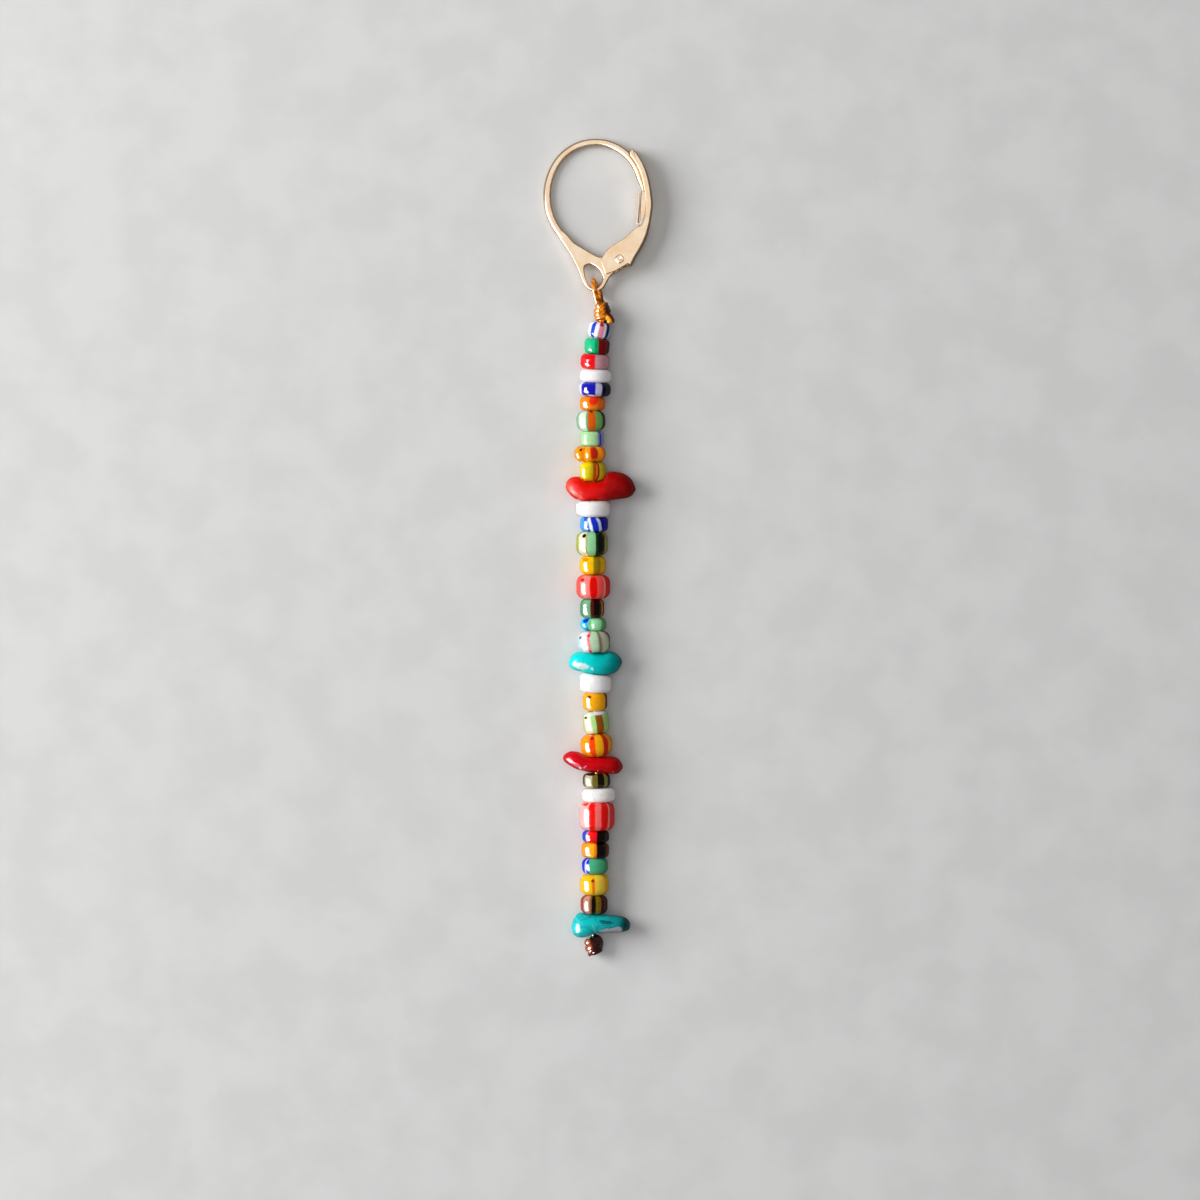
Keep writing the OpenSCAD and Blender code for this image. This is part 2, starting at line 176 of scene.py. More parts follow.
def start_material(name: str) -> tuple[Material, NodeTree, Node, NodeSocket]:
    """Starts a node material.

    Args:
        name: The material's name.

    Returns:
        The material, its tree, its shader and its object coordinates.
    """
    material = bpy.data.materials.new(name)
    material.use_nodes = True
    tree = material.node_tree
    return material, tree, tree.nodes["Principled BSDF"], add_node(tree, "TexCoord").node.outputs["Object"]


def smooth_line(points: Sequence[Sequence[float]], steps: int = 5, closed: bool = False) -> list[Vector]:
    """Draws a smooth curve through points, as the part's source does.

    Args:
        points: The points that the curve passes through.
        steps: Points on the curve for each stretch.
        closed: Whether the curve comes back to its start.

    Returns:
        The curve's points.
    """
    row = [Vector(p).to_3d() for p in points]
    count = len(row)
    curve = []
    for i in range(count if closed else count - 1):
        if closed:
            a, b, c, d = (row[(i + k) % count] for k in (-1, 0, 1, 2))
        else:
            b, c = row[i], row[i + 1]
            a = row[i - 1] if i > 0 else 2 * b - c
            d = row[i + 2] if i + 2 < count else 2 * c - b
        for k in range(steps):
            u = k / steps
            curve.append(0.5 * (
                2 * b + (c - a) * u + (2 * a - 5 * b + 4 * c - d) * u**2 + (3 * b - a - 3 * c + d) * u**3
            ))
    if not closed:
        curve.append(row[-1])
    return curve


def headings(path: Sequence[Vector]) -> list[Vector]:
    """Finds which way a path runs at each of its points."""
    last = len(path) - 1
    return [(path[min(i + 1, last)] - path[max(i - 1, 0)]).normalized() for i in range(last + 1)]


def beside(path: Sequence[Vector], widths: Sequence[float]) -> list[Vector]:
    """Draws a line beside a flat path: to its left, or to its right where a width is negative."""
    runs = headings(path)
    return [p + Vector((-run.y, run.x, 0)) * width for p, run, width in zip(path, runs, widths, strict=True)]


def picked(made: Sequence, kind: type) -> list:
    """Picks the vertices or the faces out of what an operator made."""
    return [part for part in made if isinstance(part, kind)]


def round_over(
    bm: BMesh, faces: list, reach: float, rise: float, steps: int, rest: float, even: bool = True
) -> None:
    """Turns the edge of a flat top over in a quarter round, then leaves a narrow flat margin.

    Args:
        bm: The mesh.
        faces: The faces of the flat top.
        reach: How far the round goes inwards.
        rise: How far it goes up.
        steps: The number of insets.
        rest: Width of the flat margin, which keeps the shading of the top flat.
        even: Whether corners keep the full width, which a very sharp corner can't.
    """
    angles = [math.pi / 2 * i / steps for i in range(steps + 1)]
    insets = [
        (reach * (math.cos(a) - math.cos(b)), rise * (math.sin(b) - math.sin(a)))
        for a, b in zip(angles, angles[1:], strict=False)
    ]
    for thickness, depth in [*insets, (rest, 0.0)]:
        bmesh.ops.inset_region(
            bm, faces=faces, thickness=thickness, depth=depth, use_boundary=True, use_even_offset=even
        )


def lift_off(bm: BMesh, faces: list, height: float) -> list[BMFace]:
    """Extrudes flat faces upwards, and leaves no face where they were.

    Args:
        bm: The mesh.
        faces: The faces to raise.
        height: How far they go up.

    Returns:
        The raised faces.
    """
    made = bmesh.ops.extrude_face_region(bm, geom=faces)["geom"]
    bmesh.ops.translate(bm, verts=picked(made, BMVert), vec=(0, 0, height))
    return picked(made, BMFace)


def mirror_down(bm: BMesh) -> None:
    """Mirrors a mesh in its flat lower side, and joins the halves."""
    bmesh.ops.mirror(bm, geom=bm.verts[:] + bm.edges[:] + bm.faces[:], axis="Z", merge_dist=FLAT)


def break_edges(bm: BMesh, edges: Sequence[BMEdge], width: float) -> None:
    """Rounds sharp edges a little.

    Args:
        bm: The mesh.
        edges: The sharp edges.
        width: How far from the edge the round starts.
    """
    bmesh.ops.bevel(
        bm, geom=edges, offset=width, segments=3, profile=0.5, affect="EDGES", material=-1, clamp_overlap=True
    )


def ring_edges(ring: Sequence[BMVert]) -> list[BMEdge]:
    """Finds the edges that join the vertices of one ring, in the same order in each run."""
    near = dict.fromkeys(e for v in ring for e in v.link_edges)
    return [e for e in near if all(v in ring for v in e.verts)]


def close_dome(bm: BMesh, ring: list, outwards: Vector, bulge: float, steps: int = 5) -> None:
    """Closes a tube's end with a rounded cap.

    Args:
        bm: The mesh.
        ring: The vertices of the open end.
        outwards: The direction that the end faces.
        bulge: How far the cap stands out.
        steps: Rings in the cap.
    """
    centre = sum((v.co for v in ring), Vector()) / len(ring)
    edges = ring_edges(ring)
    last, lifted = 1.0, 0.0
    for i in range(1, steps + 1):
        angle = math.pi / 2 * i / steps
        size = max(math.cos(angle), 0.02)
        verts = picked(bmesh.ops.extrude_edge_only(bm, edges=edges)["geom"], BMVert)
        edges = ring_edges(verts)
        here = centre + outwards * lifted
        lifted = bulge * math.sin(angle)
        move = Matrix.Translation(centre + outwards * lifted) @ Matrix.Scale(size / last, 4)
        bmesh.ops.transform(bm, matrix=move @ Matrix.Translation(-here), verts=verts)
        last = size
    bmesh.ops.pointmerge(bm, verts=verts, merge_co=centre + outwards * bulge)


def sweep(path: Sequence[Vector], radii: Sequence[float], sides: int = 20) -> BMesh:
    """Draws a round cord along a path, with rounded ends.

    The mesh gets a UV map: across is once round the cord, and up is the length in millimetres.

    Args:
        path: The middle of the cord.
        radii: The cord's radius at each point of the path.
        sides: Faces round the cord.

    Returns:
        The cord's mesh.
    """
    bm = bmesh.new()
    runs = headings(path)
    start = Matrix.Translation(path[0]) @ runs[0].to_track_quat("Z", "Y").to_matrix().to_4x4()
    ring = bmesh.ops.create_circle(bm, segments=sides, radius=radii[0], matrix=start)["verts"]
    place = {v: (k / sides, 0.0) for k, v in enumerate(ring)}
    first, length = ring, 0.0
    for i in range(1, len(path)):
        fresh = picked(bmesh.ops.extrude_edge_only(bm, edges=ring_edges(ring))["geom"], BMVert)
        length += (path[i] - path[i - 1]).length
        for v in fresh:
            old = next(o for o in (e.other_vert(v) for e in v.link_edges) if o in place and o not in fresh)
            place[v] = (place[old][0], length)
        swing = runs[i - 1].rotation_difference(runs[i]).to_matrix().to_4x4()
        grow = Matrix.Scale(radii[i] / radii[i - 1], 4)
        move = Matrix.Translation(path[i]) @ swing @ grow @ Matrix.Translation(-path[i - 1])
        bmesh.ops.transform(bm, matrix=move, verts=fresh)
        ring = fresh
    close_dome(bm, first, -runs[0], radii[0] * CUT_BULGE)
    close_dome(bm, ring, runs[-1], radii[-1] * CUT_BULGE)
    layer = bm.loops.layers.uv.new("UVMap")
    for face in bm.faces:
        around = [place.get(loop.vert, (0.0, 0.0))[0] for loop in face.loops]
        wraps = max(around) - min(around) > 0.5
        for loop, across in zip(face.loops, around, strict=True):
            up = place.get(loop.vert, (0.0, 0.0))[1]
            loop[layer].uv = (across + 1.0 if wraps and across < 0.5 else across, up)
    return bm


def as_mesh(bm: BMesh, name: str) -> Mesh:
    """Writes a bmesh to a mesh of its own.

    Args:
        bm: The bmesh, which is freed.
        name: The mesh's name.

    Returns:
        The mesh.
    """
    mesh = bpy.data.meshes.new(name)
    bm.to_mesh(mesh)
    bm.free()
    return mesh


def join(bm: BMesh, part: BMesh) -> None:
    """Adds a second mesh to a mesh.

    Args:
        bm: The mesh that grows.
        part: The second mesh, which is freed.
    """
    spare = as_mesh(part, "spare")
    bm.from_mesh(spare)
    bpy.data.meshes.remove(spare)


def stand(name: str, data: bpy.types.ID) -> Object:
    """Makes an object and puts it in the scene.

    Args:
        name: The object's name.
        data: Its mesh, light or camera.

    Returns:
        The object.
    """
    thing = bpy.data.objects.new(name, data)
    bpy.context.scene.collection.objects.link(thing)
    return thing


def make_piece(
    bm: BMesh,
    name: str,
    node: str,
    rider: Rider,
    material: Material,
    place: Matrix | None = None,
    crease: float = 38.0,
) -> Object:
    """Makes an object of a mesh in millimetres and puts it in the place of its CAD node.

    Args:
        bm: The mesh, which is freed.
        name: The object's name.
        node: The CAD node that the piece stands for.
        rider: The body that it goes with.
        material: Its finish.
        place: Where the mesh stands in the model's frame, in millimetres.
        crease: Edges that bend more than this many degrees stay sharp.

    Returns:
        The object, at the origin, with its place in its mesh.
    """
    bmesh.ops.transform(bm, matrix=Matrix.Scale(MM, 4) @ (place or Matrix()), verts=bm.verts)
    bmesh.ops.recalc_face_normals(bm, faces=bm.faces)
    mesh = as_mesh(bm, name)
    mesh.shade_smooth()
    mesh.set_sharp_from_angle(angle=math.radians(crease))
    mesh.materials.append(material)
    piece = stand(name, mesh)
    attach(piece, rider.value)
    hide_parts(node)
    LOG.info("%s for %s: %d faces", name, node, len(mesh.polygons))
    return piece


def cut_away(piece: Object, tool: BMesh, crease: float = 38.0) -> None:
    """Cuts a solid out of a piece.

    Args:
        piece: The piece.
        tool: The solid to cut away, in millimetres, which is freed.
        crease: Edges that bend more than this many degrees stay sharp.
    """
    bmesh.ops.transform(tool, matrix=Matrix.Scale(MM, 4), verts=tool.verts)
    bmesh.ops.recalc_face_normals(tool, faces=tool.faces)
    drill = stand("drill", as_mesh(tool, "drill"))
    cut = piece.modifiers.new("drilled", "BOOLEAN")
    cut.operation = "DIFFERENCE"
    cut.solver = "EXACT"
    cut.object = drill
    bpy.context.view_layer.update()
    shaped = bpy.data.meshes.new_from_object(piece.evaluated_get(bpy.context.evaluated_depsgraph_get()))
    piece.modifiers.clear()
    piece.data = shaped
    shaped.set_sharp_from_angle(angle=math.radians(crease))
    bpy.data.objects.remove(drill)


@dataclass(frozen=True)
class GoldFilled:
    """Gold-filled brass, struck and tumble-polished: a warm mirror, a little softened by fine wear."""

    name: str = "gold_filled_brass_polished"
    light: str = "#FAE2C4"
    deep: str = "#F4D0A8"
    roughness: Pair = (0.1, 0.19)
    mottle: float = 1.4
    wear: float = 0.12
    wear_depth: float = 0.02
    polish_glow: float = 0.12

    def material(self) -> Material:
        """Dresses metal in the plating's tone, its wear and its slight unevenness.

        Returns:
            The material.
        """
        material, tree, shader, place = start_material(self.name)
        cloud = add_node(tree, "TexNoise", place, 1 / (self.mottle * MM), 3.0)
        tone = add_node(tree, "ValToRGB", cloud)
        fill_ramp(tone.node, ((0.3, self.deep), (0.62, self.light)))
        scuff = add_node(tree, "TexNoise", place, 1 / (self.wear * MM), 4.0)
        gloss = add_node(tree, "MapRange", scuff, 0.3, 0.7, *self.roughness)
        dent = add_node(tree, "Bump", 0.06, self.wear_depth * MM, FILTER_WIDTH, scuff)
        plug(shader, {
            "Base Color": tone, "Roughness": gloss, "Normal": dent, "Metallic": 1.0 - self.polish_glow,
        })
        return material


@dataclass(frozen=True)
class Spot:
    """A dab of another colour, round or drawn out: a pattern mark, or painted light or shade where it is
    listed as such.

    On a bead, at and size are in fractions of its width and length, from its top left. On a chip
    and on cord they are millimetres in the model's frame. A square spot is a bar with rounded ends.
    """

    at: Pair
    size: Pair
    colour: str
    turn: float = 0.0
    square: bool = False


def lay_spots(
    tree: NodeTree,
    place: NodeSocket,
    colour: NodeSocket,
    spots: Sequence[Spot],
    unit: float = 1.0,
    top: Pair = (0.0, 1.0),
) -> NodeSocket:
    """Paints spots over a colour, each over the last.

    Args:
        tree: The material's tree.
        place: The coordinates that the spots are placed in.
        colour: The colour under them.
        spots: The spots.
        unit: Length of a spot's unit in those coordinates.
        top: Middle and half depth of a spot in the third coordinate.

    Returns:
        The colour with the spots on it.
    """
    for spot in spots:
        spread = add_node(
            tree, "Mapping", place, (spot.at[0] * unit, spot.at[1] * unit, top[0]),
            (0, 0, math.radians(spot.turn)), (spot.size[0] * unit, spot.size[1] * unit, top[1]),
            vector_type="TEXTURE",
        )
        if spot.square:
            spread = add_node(tree, "VectorMath", spread, spread, operation="MULTIPLY")
        reach = add_node(tree, "VectorMath", spread, operation="LENGTH")
        mask = add_node(tree, "MapRange", reach, 0.75, 1.15, 1.0, 0.0, interpolation_type="SMOOTHSTEP")
        colour = add_node(tree, "Mix", mask, colour, linear(spot.colour), data_type="RGBA")
    return colour


@dataclass(frozen=True)
class WaxedCord:
    """Waxed polyester cord: glossy, with fine plies that wind round it, darker between them."""

    name: str
    body: str
    shade: str
    spots: tuple[Spot, ...] = ()
    ply: float = 0.16
    ply_depth: float = 0.02
    cloud: float = 0.35
    roughness: float = 0.2

    def material(self) -> Material:
        """Dresses cord in its plies, darker between them, its spots of painted light and shade, and its waxy
        gloss.

        Returns:
            The material, which reads the cord's UV map.
        """
        material, tree, shader, place = start_material(self.name)
        around = add_node(tree, "SeparateXYZ", place.node.outputs["UV"])
        climb = add_node(tree, "Math", around.node.outputs["Y"], self.ply * 4, operation="DIVIDE")
        wind = add_node(tree, "Math", around, 3.0, climb, operation="MULTIPLY_ADD")
        turns = add_node(tree, "Math", wind, 2 * math.pi, operation="MULTIPLY")
        plies = add_node(tree, "Math", turns, operation="SINE")
        cloud = add_node(tree, "TexNoise", place, 1 / (self.cloud * MM), 3.0)
        level = add_node(tree, "Math", plies, 0.12, cloud, operation="MULTIPLY_ADD")
        tone = add_node(tree, "ValToRGB", level)
        fill_ramp(tone.node, ((0.28, self.shade), (0.55, self.body)))
        # On cord, the spots are painted shade and painted highlights.
        colour = lay_spots(tree, place, tone, self.spots, MM, (MM, 4 * MM))
        dent = add_node(tree, "Bump", 0.35, self.ply_depth * MM, FILTER_WIDTH, level)
        plug(shader, {
            "Base Color": colour, "Normal": dent, "Roughness": self.roughness,
            "Coat Weight": 0.6, "Coat Roughness": 0.12,
        })
        return material


@dataclass(frozen=True)
class CaneGlass:
    """Soda-lime glass cut from a striped cane and fire-polished: wet gloss, stripes that waver."""

    stripes: Stops
    spots: tuple[Spot, ...] = ()
    slant: float = 0.0
    soft: float = 0.03
    waver: float = 0.05
    milk: float = 0.15
    roughness: Pair = (0.05, 0.16)
    shine: float = 0.5
    wave: float = 0.9
    grain: float = 0.25
    dent_depth: float = 0.05
    milk_depth: float = 0.6

    def ramp_stops(self) -> Stops:
        """Sets two close stops at each border, so that it is a little soft.

        Returns:
            Position and hex colour of each stop, in order.
        """
        stops = [(0.0, self.stripes[0][1])]
        for (_, before), (border, after) in zip(self.stripes, self.stripes[1:], strict=False):
            stops.append((border - self.soft / 2, before))
            stops.append((border + self.soft / 2, after))
        return tuple(stops)

    def material(self, name: str) -> Material:
        """Dresses a bead in its stripes, spots and gloss.

        Args:
            name: The bead's own name.

        Returns:
            The material, which reads the bead's UV map: across is its width as seen, up its length.
        """
        material, tree, shader, place = start_material(f"cane_glass_{name}")
        wave = add_node(tree, "TexNoise", place, 1 / (self.wave * MM), 1.5)
        centred = add_node(tree, "VectorMath", wave.node.outputs["Color"], (0.5,) * 3, operation="SUBTRACT")
        shifted = add_node(
            tree, "VectorMath", centred, (self.waver, self.waver, 0.0), place.node.outputs["UV"],
            operation="MULTIPLY_ADD",
        )
        across = add_node(tree, "SeparateXYZ", shifted)
        up = across.node.outputs["Y"]
        leaned = add_node(tree, "Math", up, -self.slant, across, operation="MULTIPLY_ADD")
        moved = add_node(tree, "Math", leaned, self.slant / 2, operation="ADD")
        ramp = add_node(tree, "ValToRGB", moved)
        fill_ramp(ramp.node, self.ramp_stops())
        colour = lay_spots(tree, shifted, ramp, self.spots)
        grain = add_node(tree, "TexNoise", place, 1 / (self.grain * MM), 4.0)
        depth = add_node(tree, "MapRange", grain, 0.3, 0.7, 0.92, 1.04)
        varied = add_node(tree, "Mix", 1.0, colour, depth, data_type="RGBA", blend_type="MULTIPLY")
        polish = add_node(tree, "MapRange", grain, 0.3, 0.7, *self.roughness)
        dent = add_node(tree, "Bump", 0.15, self.dent_depth * MM, FILTER_WIDTH, wave)
        plug(shader, {
            "Base Color": varied, "Roughness": polish, "Normal": dent, "IOR": 1.52,
            "Specular IOR Level": self.shine, "Subsurface Weight": self.milk,
            "Subsurface Radius": (1.0, 0.9, 0.8), "Subsurface Scale": self.milk_depth * MM,
        })
        return material


@dataclass(frozen=True)
class TumbledStone:
    """Dyed stone chip, drilled and tumbled: waxy polish over clouded colour, pits and matrix."""

    across: Stops
    cloud: str
    vein: str
    vein_share: float
    spots: tuple[Spot, ...] = ()
    roughness: Pair = (0.14, 0.3)
    shine: float = 0.35
    bend: float = 1.6
    stir: float = 0.24
    cloud_size: float = 0.5
    vein_spacing: float = 1.7
    pit: float = 0.3
    pit_depth: float = 0.05
    spot_depth: float = 3.2
    wander: float = 0.4

    def material(self, name: str, low: Vector, high: Vector) -> Material:
        """Dresses a chip from its left end to its right.

        Args:
            name: The chip's own name.
            low: The chip's lowest corner, in millimetres.
            high: Its highest corner.

        Returns:
            The material, which reads object coordinates.
        """
        material, tree, shader, place = start_material(f"tumbled_stone_{name}")
        bend = add_node(tree, "TexNoise", place, 1 / (self.bend * MM), 3.0)
        share = add_node(tree, "MapRange", add_node(tree, "SeparateXYZ", place), low.x * MM, high.x * MM)
        stirred = add_node(tree, "Math", bend, self.stir, share, operation="MULTIPLY_ADD")
        moved = add_node(tree, "Math", stirred, self.stir / 2, operation="SUBTRACT")
        ramp = add_node(tree, "ValToRGB", moved)
        fill_ramp(ramp.node, self.across)
        cloud = add_node(tree, "TexNoise", place, 1 / (self.cloud_size * MM), 5.0)
        plug(cloud.node, {"Distortion": 0.6})
        veil = add_node(tree, "MapRange", cloud, 0.45, 0.75, 0.0, 0.35, interpolation_type="SMOOTHSTEP")
        clouded = add_node(tree, "Mix", veil, ramp, linear(self.cloud), data_type="RGBA")
        cracks = add_node(tree, "TexVoronoi", place, 1 / (self.vein_spacing * MM), feature="DISTANCE_TO_EDGE")
        vein = add_node(
            tree, "MapRange", cracks, 0.0, 0.05, self.vein_share, 0.0, interpolation_type="SMOOTHSTEP"
        )
        veined = add_node(tree, "Mix", vein, clouded, linear(self.vein), data_type="RGBA")
        off = self.wander * MM
        wander = add_node(
            tree, "VectorMath", cloud.node.outputs["Color"], (off, off, 0.0), place, operation="MULTIPLY_ADD"
        )
        colour = lay_spots(tree, wander, veined, self.spots, MM, (high.z * MM, self.spot_depth * MM))
        polish = add_node(tree, "MapRange", cloud, 0.35, 0.7, *self.roughness)
        pits = add_node(tree, "TexNoise", place, 1 / (self.pit * MM), 2.0)
        dent = add_node(tree, "Bump", 0.3, self.pit_depth * MM, FILTER_WIDTH, pits)
        plug(shader, {
            "Base Color": colour, "Roughness": polish, "Normal": dent, "IOR": 1.5,
            "Specular IOR Level": self.shine,
        })
        return material


@dataclass(frozen=True)
class MattePaper:
    """Pale seamless backdrop paper: flat, with a faint tooth.

    Seen in mirror views, its colour is a painted reflection, dim and warm, that stands in for warm
    flags beside a subject: glass and metal keep dark edges.
    """

    name: str = "backdrop_paper_matte"
    colour: str = "#D9D9D8"
    tooth: str = "#D3D3D2"
    tooth_size: float = 6.0
    painted_reflection_colour: str = "#5E4228"
    painted_reflection_share: float = 0.8

    def material(self) -> Material:
        """Dresses the floor.

        Returns:
            The material.
        """
        material, tree, shader, place = start_material(self.name)
        tone = add_node(tree, "ValToRGB", add_node(tree, "TexNoise", place, 1 / (self.tooth_size * MM), 4.0))
        fill_ramp(tone.node, ((0.4, self.tooth), (0.6, self.colour)))
        # Painted reflection: glossy rays see the floor in a dim warm colour instead of its own pale one.
        mirrored = add_node(tree, "LightPath").node.outputs["Is Glossy Ray"]
        share = add_node(tree, "Math", mirrored, self.painted_reflection_share, operation="MULTIPLY")
        floor_with_painted_reflection = add_node(tree, "Mix", share, tone, linear(self.painted_reflection_colour), data_type="RGBA")
        plug(shader, {"Base Color": floor_with_painted_reflection, "Roughness": 0.9})
        return material


@dataclass
class HookPlace:
    """Where the hook's own flat drawing stands: on its pivot, leaning both ways."""

    pivot: Triple = (2.22, 28.81, 1.11)
    pitch: float = -1.24
    roll: float = -4.6

    def matrix(self) -> Matrix:
        """Takes the drawing's frame to the model's, in millimetres."""
        roll = Matrix.Rotation(math.radians(self.roll), 4, "Y")
        return Matrix.Translation(self.pivot) @ (roll @ Matrix.Rotation(math.radians(self.pitch), 4, "X"))


@dataclass
class HookFrame:
    """The ear wire and its flattened shank with the ring for the cord, one piece of metal."""

    place: Matrix
    gold: Material
    wire_radius: float = 0.36
    wire_sides: int = 28
    bends: tuple[tuple[Triple, int], ...] = (
        ((-3.822, 6.634, 0), 8), ((-2.57, 7.14, 0), 56), ((-1.401, 6.465, 0), 36),
    )
    side_bend: float = 6.0
    angles: tuple[float, ...] = (3.5, 22.0, 150.0, 226.0)
    thinned: float = 11.0
    thinned_across: float = 0.42
    thinned_deep: float = 0.3
    shank_half: float = 0.4
    shank_round: Pair = (0.14, 0.27)
    shank_end: Pair = (-6.315, 3.025)
    shank_taper: float = 1.9
    taper_least: float = 0.4
    eye_radius: float = 0.82
    eye_edge: float = 0.1
    shank_outline: tuple[Pair, ...] = (
        (-6.5, 2.84), (-5.62, 1.44), (-4.95, 0.4), (-4.28, -0.93), (-3.9, -1.9), (-3.6, -2.54),
        (-3.13, -2.99), (-2.47, -3.19), (-1.92, -3.03), (-1.6, -2.71), (-1.32, -2.21), (-1.06, -1.77),
        (-0.55, -1.2), (-0.2, -0.6), (0, 0), (-0.3, 0.6), (-1.1, 0.42), (-1.98, 0.26), (-2.5, 0.42),
        (-3.38, 0.94), (-4.59, 1.67), (-5.25, 2.4), (-5.8, 2.92), (-6.16, 3.1),
    )
    ring_hole: tuple[Pair, ...] = (
        (-3.63, -0.86), (-3.52, -1.66), (-3.24, -2.36), (-2.89, -2.76), (-2.53, -2.86), (-2.16, -2.7),
        (-1.82, -2.2), (-1.75, -1.8), (-1.98, -1.2), (-2.48, -0.7), (-3.03, -0.46), (-3.45, -0.56),
    )

    def wire(self, bm: BMesh) -> None:
        """Bends the round wire through its three arcs, from its free end to the shank.

        Args:
            bm: The hook's mesh.
        """
        start = math.radians(self.angles[0])
        outwards = Vector((math.cos(start), math.sin(start), 0))
        along = Vector((-outwards.y, outwards.x, 0))
        turn = Matrix((outwards, (0, 0, 1), along)).transposed().to_4x4()
        stand_at = Matrix.Translation(Vector(self.bends[0][0]) + outwards * self.side_bend) @ turn
        ring = bmesh.ops.create_circle(
            bm, segments=self.wire_sides, radius=self.wire_radius, matrix=stand_at
        )["verts"]
        free_end = list(ring)
        for (centre, steps), before, after in zip(self.bends, self.angles, self.angles[1:], strict=False):
            made = bmesh.ops.spin(
                bm, geom=ring + ring_edges(ring), cent=centre, axis=(0, 0, 1),
                angle=math.radians(after - before), steps=steps, use_merge=False, use_duplicate=False,
            )["geom_last"]
            ring = picked(made, BMVert)
        self.thin_free_end(bm)
        close_dome(bm, free_end, -along, self.wire_radius * 0.6)
        end = math.radians(self.angles[-1])
        close_dome(bm, ring, Vector((-math.sin(end), math.cos(end), 0)), self.wire_radius * 0.5)

    def thin_free_end(self, bm: BMesh) -> None:
        """Thins the last of the wire towards the lever, where it slips into the channel.

        Args:
            bm: The hook's mesh, with the wire alone.
        """
        centre = Vector(self.bends[0][0])
        outside = self.side_bend + self.wire_radius
        for v in bm.verts:
            out = v.co - centre
            share = (self.angles[0] + self.thinned - math.degrees(math.atan2(out.y, out.x))) / self.thinned
            if out.x > 0 and share > 0:
                flat = out.xy.length
                out.xy *= (outside - (outside - flat) * (1 - self.thinned_across * share)) / flat
                v.co = Vector((*(centre + out).xy, v.co.z * (1 - self.thinned_deep * share)))

    def shank(self, bm: BMesh) -> None:
        """Strikes the shank flat, with rounded edges inside and out, and thins it into the wire.

        Args:
            bm: The hook's mesh.
        """
        plate = bmesh.new()
        for points in (self.shank_outline, self.ring_hole):
            loop = [plate.verts.new(p) for p in smooth_line(points, 6, closed=True)]
            for a, b in zip(loop, [*loop[1:], loop[0]], strict=True):
                plate.edges.new((a, b))
        filled = bmesh.ops.triangle_fill(plate, use_beauty=True, use_dissolve=False, edges=plate.edges[:])
        flat = picked(filled["geom"], BMFace)
        bmesh.ops.reverse_faces(plate, faces=[f for f in flat if f.normal.z < 0])
        reach, rise = self.shank_round
        top = lift_off(plate, flat, self.shank_half - rise)
        bmesh.ops.delete(plate, geom=[f for f in flat if f.is_valid], context="FACES_ONLY")
        round_over(plate, top, reach, rise, 5, 0.012)
        mirror_down(plate)
        for v in plate.verts:
            share = min((v.co.xy - Vector(self.shank_end)).length / self.shank_taper, 1.0)
            v.co.z *= self.taper_least + (1 - self.taper_least) * share * (2 - share)
        bmesh.ops.recalc_face_normals(plate, faces=plate.faces)
        join(bm, plate)

    def eye(self, bm: BMesh) -> None:
        """Adds the round eye that turns on the rivet, between the lever's cheeks.

        Args:
            bm: The hook's mesh.
        """
        made = bmesh.ops.create_cone(
            bm, cap_ends=True, segments=48, radius1=self.eye_radius, radius2=self.eye_radius,
            depth=2 * self.shank_half,
        )["verts"]
        rims = [e for e in ring_edges(made) if abs(e.verts[0].co.z - e.verts[1].co.z) < FLAT]
        break_edges(bm, rims, self.eye_edge)

    def build(self) -> None:
        """Builds and dresses the whole frame."""
        bm = bmesh.new()
        self.wire(bm)
        self.shank(bm)
        self.eye(bm)
        make_piece(bm, "ear_wire_and_shank", "hook_frame", Rider.HOOK, self.gold, self.place)


